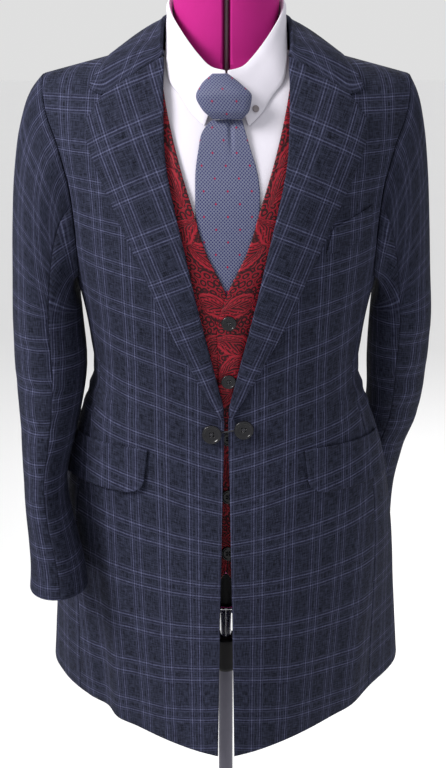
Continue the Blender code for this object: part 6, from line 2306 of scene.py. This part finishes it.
@dataclass
class Tie:
    """The knot and the blade under it, whose end lies behind the vest."""

    ring_count: int = 34
    sides: int = 64
    dimple: float = 0.0024

    def knot(self) -> None:
        """The knot, wrapped: its folds run down from the corners of its top."""
        grid = []
        for index in range(self.ring_count + 1):
            z = lerp(KNOT_RINGS["z"][0], KNOT_RINGS["z"][-1], index / self.ring_count)
            sides = ("right", "left", "back", "front")
            right, left, back, front = (table(KNOT_RINGS, key, z) for key in sides)
            ring = []
            for k in range(self.sides):
                angle = 2 * math.pi * k / self.sides
                reach = 1 - 0.045 * math.exp(-(((angle - 5.35 - (z - 1.385) * 12) / 0.09) ** 2))
                across_share = math.copysign(abs(math.cos(angle)) ** 0.8, math.cos(angle))
                out_share = math.copysign(abs(math.sin(angle)) ** 0.8, math.sin(angle)) * reach
                ring.append(Vector(((right + left) / 2 + (left - right) / 2 * across_share,
                                    (back + front) / 2 + (back - front) / 2 * out_share, z)))
            grid.append(ring)
        closed = array_of([ring + [ring[0]] for ring in grid])
        closed = measured(closed, self.sides * 3 // 4)
        bm = bmesh.new()
        uv = bm.loops.layers.uv.new("cloth")
        rings = [[bm.verts.new(p) for p in ring] for ring in grid]
        for i in range(self.ring_count):
            for k in range(self.sides):
                n = (k + 1) % self.sides
                face = bm.faces.new((rings[i][k], rings[i][n], rings[i + 1][n], rings[i + 1][k]))
                corners = ((i, k), (i, k + 1), (i + 1, k + 1), (i + 1, k))
                for loop, (a, b) in zip(face.loops, corners):
                    loop[uv].uv = closed[a, b, 3:5]
        for ring in (rings[0], rings[-1]):
            centre = sum((v.co for v in ring), Vector()) / self.sides
            inner = [bm.verts.new(v.co.lerp(centre, 0.12)) for v in ring]
            middle = bm.verts.new(sum((v.co for v in inner), Vector()) / self.sides)
            for k in range(self.sides):
                n = (k + 1) % self.sides
                bm.faces.new((ring[k], ring[n], inner[n], inner[k]))
                bm.faces.new((inner[k], inner[n], middle))
        face_outwards(bm)
        obj = add_mesh("tie_knot_silk", bm, Dress.SILK.value.make())
        dressed(obj, ["tie_knot"])

    def blade(self) -> None:
        """The blade with the dimple under the knot."""
        grids = []
        for thick in (0.0, TIE_WALL):
            rows = []
            for index, z in enumerate(BLADE_ROWS["z"]):
                right, left = BLADE_ROWS["right"][index], BLADE_ROWS["left"][index]
                xs = [lerp(right, left, j / BLADE_COLS) or 1e-6 for j in range(BLADE_COLS + 1)]
                places = [front_place(x, z) for x in xs]
                rows.append([BODY.point(u, z, BLADE_ROWS["off"][index] - thick) for u, z in places])
            grids.append(refined(array_of(rows), 6, 7))
        outer, inner = grids
        outer = measured(outer, outer.shape[1] // 2)
        x, z = outer[..., 0], outer[..., 2]
        fade = np.clip((z - 1.322) / 0.03, 0, 1)
        line = x - (0.0035 + (1.3629 - z) * 0.06)
        move = -self.dimple * fade * bell(line, 0.0022)
        outer[..., 1] -= move
        inner[..., 1] -= move
        outer, inner = edged(outer, inner, Edge(0.0012, 0.0007))
        obj = wall("tie_blade_silk", outer, inner, Dress.SILK.value.make())
        sheet_of(dressed(obj, ["tie_blade"]))

    def build(self) -> None:
        """Makes the whole tie."""
        self.knot()
        self.blade()


def rod_profile(radius: float, top: float, low: float) -> list[tuple[float, float]]:
    """The outline of a plain round rod."""
    return [(0.0, top), (radius, top), (radius, low), (0.0, low)]


@dataclass
class DressForm:
    """The form's jersey body and neck, open at the centre front, its rod, hub and tube."""

    sides: int = 112
    ring_sides: int = 28
    slit_width: float = 0.0085
    slit_depth: float = 0.016
    slit_z: float = 1.385
    hub_radius: float = 0.022
    hub_low: float = 0.746
    tube_radius: float = 0.0070
    tube_low: float = 0.400

    def body(self) -> None:
        """The smooth body with its slit cut out."""
        rings = []
        for index in range(len(FORM_RINGS["z"])):
            z, width = FORM_RINGS["z"][index], FORM_RINGS["half_width"][index]
            ring = []
            for k in range(self.ring_sides):
                angle = 2 * math.pi * k / self.ring_sides
                depth = FORM_RINGS["back" if math.sin(angle) > 0 else "front"][index]
                ring.append(Vector((width * math.cos(angle), depth * math.sin(angle), z)))
            rings.append(ring)
        fine = refined(array_of(rings), 4, self.sides // self.ring_sides, True)
        bm = bmesh.new()
        capped_loft(bm, [[bm.verts.new(p[:3]) for p in ring] for ring in fine])
        blank = mesh_of("form_blank", bm)
        top, front = FORM_RINGS["z"][-1] + 0.02, FORM_RINGS["front"][-3]
        cutter = bmesh.new()
        bmesh.ops.create_cube(cutter, size=1.0)
        for vert in cutter.verts:
            vert.co.x *= self.slit_width
            vert.co.y = vert.co.y * 0.10 - front - 0.05 + self.slit_depth
            vert.co.z = vert.co.z * (top - self.slit_z) + (top + self.slit_z) / 2
        bm = cut_mesh(blank, mesh_of("slit_block", cutter))
        uv = bm.loops.layers.uv.new("cloth")
        for face in bm.faces:
            for loop in face.loops:
                p = loop.vert.co
                loop[uv].uv = (math.atan2(p.x, -p.y) * 0.06, p.z)
        obj = add_mesh("form_body_jersey", bm, Dress.JERSEY.value.make())
        for polygon in obj.data.polygons:
            polygon.use_smooth = abs(polygon.normal.z) < 0.95 and polygon.area < 0.001
        dressed(obj, ["form_body"])

    def hard_parts(self) -> None:
        """The rod in the slit, the hub under the body and the tube that slides in the stand."""
        low, r, gap = self.hub_low, self.hub_radius, SEAM_GAP
        bottom, front = FORM_RINGS["z"][0] - gap, FORM_RINGS["front"][-3]
        rod_radius, rod_top, rod_low = 0.0022, 1.548, 1.400
        rod = turned(rounded(rod_profile(rod_radius, rod_top, rod_low)), 24)
        rod_y = -front + self.slit_depth - rod_radius - gap
        bmesh.ops.translate(rod, verts=rod.verts, vec=(0.0, rod_y, 0.0))
        hub = [(0.0, bottom), (0.045, bottom), (0.045, bottom - 0.008),
               (r * 0.84, bottom - 0.012), (r * 0.80, low + 0.008), (r * 0.80, low + 0.0062),
               (r * 0.70, low + 0.0058), (0.0, low + 0.0058)]
        ring = [(0.0, low + 0.0055), (r * 0.90, low + 0.0055), (r, low + 0.0035),
                (r, low + 0.0015), (r * 0.92, low), (0.0, low)]
        tube = rod_profile(self.tube_radius, low - gap, self.tube_low)
        hub, ring, tube = (turned(rounded(profile), 64) for profile in (hub, ring, tube))
        for name, bm, finish, nodes in (
            ("form_slit_rod", rod, Dress.GREY_PLASTIC, ["form_slit_rod"]),
            ("form_hub", hub, Dress.BLACK_PLASTIC, ["form_hub"]),
            ("form_hub_ring", ring, Dress.STEEL, []),
            ("form_upper_tube", tube, Dress.STEEL, ["form_upper_tube"]),
        ):
            hard_piece(f"{name}_turned", bm, finish, nodes)

    def build(self) -> None:
        """Makes the whole form."""
        self.body()
        self.hard_parts()


@dataclass
class Stand:
    """The clamp collar, the lower tube and the round base."""

    clamp: tuple[float, float] = (0.654, 0.700)
    clamp_radius: float = 0.0150
    bore: float = 0.0075
    tube: tuple[float, float] = (0.0078, 0.0092)
    base_radius: float = 0.150
    base_height: float = 0.016

    def build(self) -> None:
        """Makes the stand's turned parts."""
        low, high = self.clamp
        inner, outer = self.tube
        r, bore, height = self.clamp_radius, self.bore, self.base_height
        top = height + 0.010
        clamp = [(bore, high - 0.005), (bore, high), (r * 0.94, high), (r, high - 0.003),
                 (r * 0.97, high - 0.014), (r * 0.97, low + 0.012), (r, low + 0.004),
                 (r * 0.95, low), (outer + SEAM_GAP, low), (outer + SEAM_GAP, high - 0.010),
                 (bore, high - 0.010), (bore, high - 0.005)]
        tube = [(inner, high - 0.020), (inner, high - 0.0105), (outer, high - 0.0105),
                (outer, top + SEAM_GAP), (inner, top + SEAM_GAP), (inner, high - 0.020)]
        wide = self.base_radius
        base = [(0.0, top), (0.022, top), (0.030, height), (wide - 0.006, height - 0.004),
                (wide, height - 0.009), (wide, 0.0), (0.0, 0.0)]
        for node, profile, steps, finish in (
            ("stand_clamp", clamp, 64, Dress.BLACK_PLASTIC),
            ("stand_lower_tube", tube, 64, Dress.GREY_TUBE),
            ("stand_base", base, 128, Dress.BLACK_METAL),
        ):
            points = rounded(profile)
            if profile[0][0] > 0:
                points = points[:-1]
            hard_piece(f"{node}_turned", turned(points, steps), finish, [node], "stand")


@dataclass(frozen=True)
class Lamp:
    """A soft square light: its place, size, power and colour, the height it looks at, its spread."""

    at: tuple[float, float, float]
    size: float
    power: float
    colour: tuple[float, float, float]
    aim_z: float = 1.1
    spread: float = math.pi


LAMPS = {
    "key": Lamp((-2.3, -1.3, 2.9), 1.2, 19.0, (1.0, 0.98, 0.96), 1.35, 1.1),
    "fill": Lamp((2.2, -2.2, 1.8), 2.0, 3.0, (0.95, 0.97, 1.0)),
    "back": Lamp((0.4, 2.4, 2.6), 2.2, 30.0, (1.0, 1.0, 1.0)),
}
WORLD_STRENGTH = 0.74
FLOOR_DARK = (0.955, 0.955, 0.96, 1.0)
FLOOR_LIGHT = (0.975, 0.975, 0.98, 1.0)


@dataclass
class Studio:
    """The pale floor, the soft lights and the camera at the photograph's angle."""

    camera_at: tuple[float, float, float] = (-0.0037, -1.365, 1.46)
    pitch: float = 17.1
    lens: float = 55.27
    floor_size: float = 60.0

    def floor(self) -> None:
        """A plain floor that is just off white."""
        bm = bmesh.new()
        bmesh.ops.create_grid(bm, x_segments=8, y_segments=8, size=self.floor_size / 2)
        material = bpy.data.materials.new("studio_floor")
        material.use_nodes = True
        graph = Graph(material.node_tree)
        shader = material.node_tree.nodes["Principled BSDF"]
        where = graph.add("TexCoord").outputs["Object"]
        colour = graph.mix(graph.noise(where, 1.5, 3.0), FLOOR_DARK, FLOOR_LIGHT)
        graph.feed(shader.inputs["Base Color"], colour)
        shader.inputs["Roughness"].default_value = 0.9
        obj = add_mesh("studio_floor", bm, material)

    def light(self, name: str, lamp: Lamp) -> None:
        """A soft square light that looks at the middle of the suit."""
        data = bpy.data.lights.new(name, "AREA")
        data.size, data.energy = lamp.size, lamp.power
        data.color, data.spread = lamp.colour, lamp.spread
        obj = placed(name, data)
        obj.location = lamp.at
        aim = Vector((0.0, 0.0, lamp.aim_z)) - Vector(lamp.at)
        obj.rotation_euler = aim.to_track_quat("-Z", "Y").to_euler()

    def build(self) -> None:
        """Makes the studio."""
        self.floor()
        for name, lamp in LAMPS.items():
            self.light(name, lamp)
        world = bpy.data.worlds.new("studio_world")
        world.use_nodes = True
        sky = world.node_tree.nodes["Background"].inputs
        sky[0].default_value = (1.0, 1.0, 1.0, 1.0)
        sky[1].default_value = WORLD_STRENGTH
        bpy.context.scene.view_settings.view_transform = "Standard"
        bpy.context.scene.world = world
        camera = bpy.data.cameras.new("camera")
        camera.lens = self.lens
        obj = placed("camera", camera)
        obj.location = self.camera_at
        obj.rotation_euler = (math.radians(90 - self.pitch), 0.0, 0.0)
        bpy.context.scene.camera = obj


def main() -> None:
    """Builds the suit, the form, the stand and the studio."""
    logging.basicConfig(level=logging.INFO, format="%(name)s %(message)s")
    for part in (Coat(), Vest(), Shirt(), Tie(), DressForm(), Stand(), Studio()):
        part.build()
        LOG.info("%s is done", type(part).__name__)


if __name__ == "__main__":
    main()
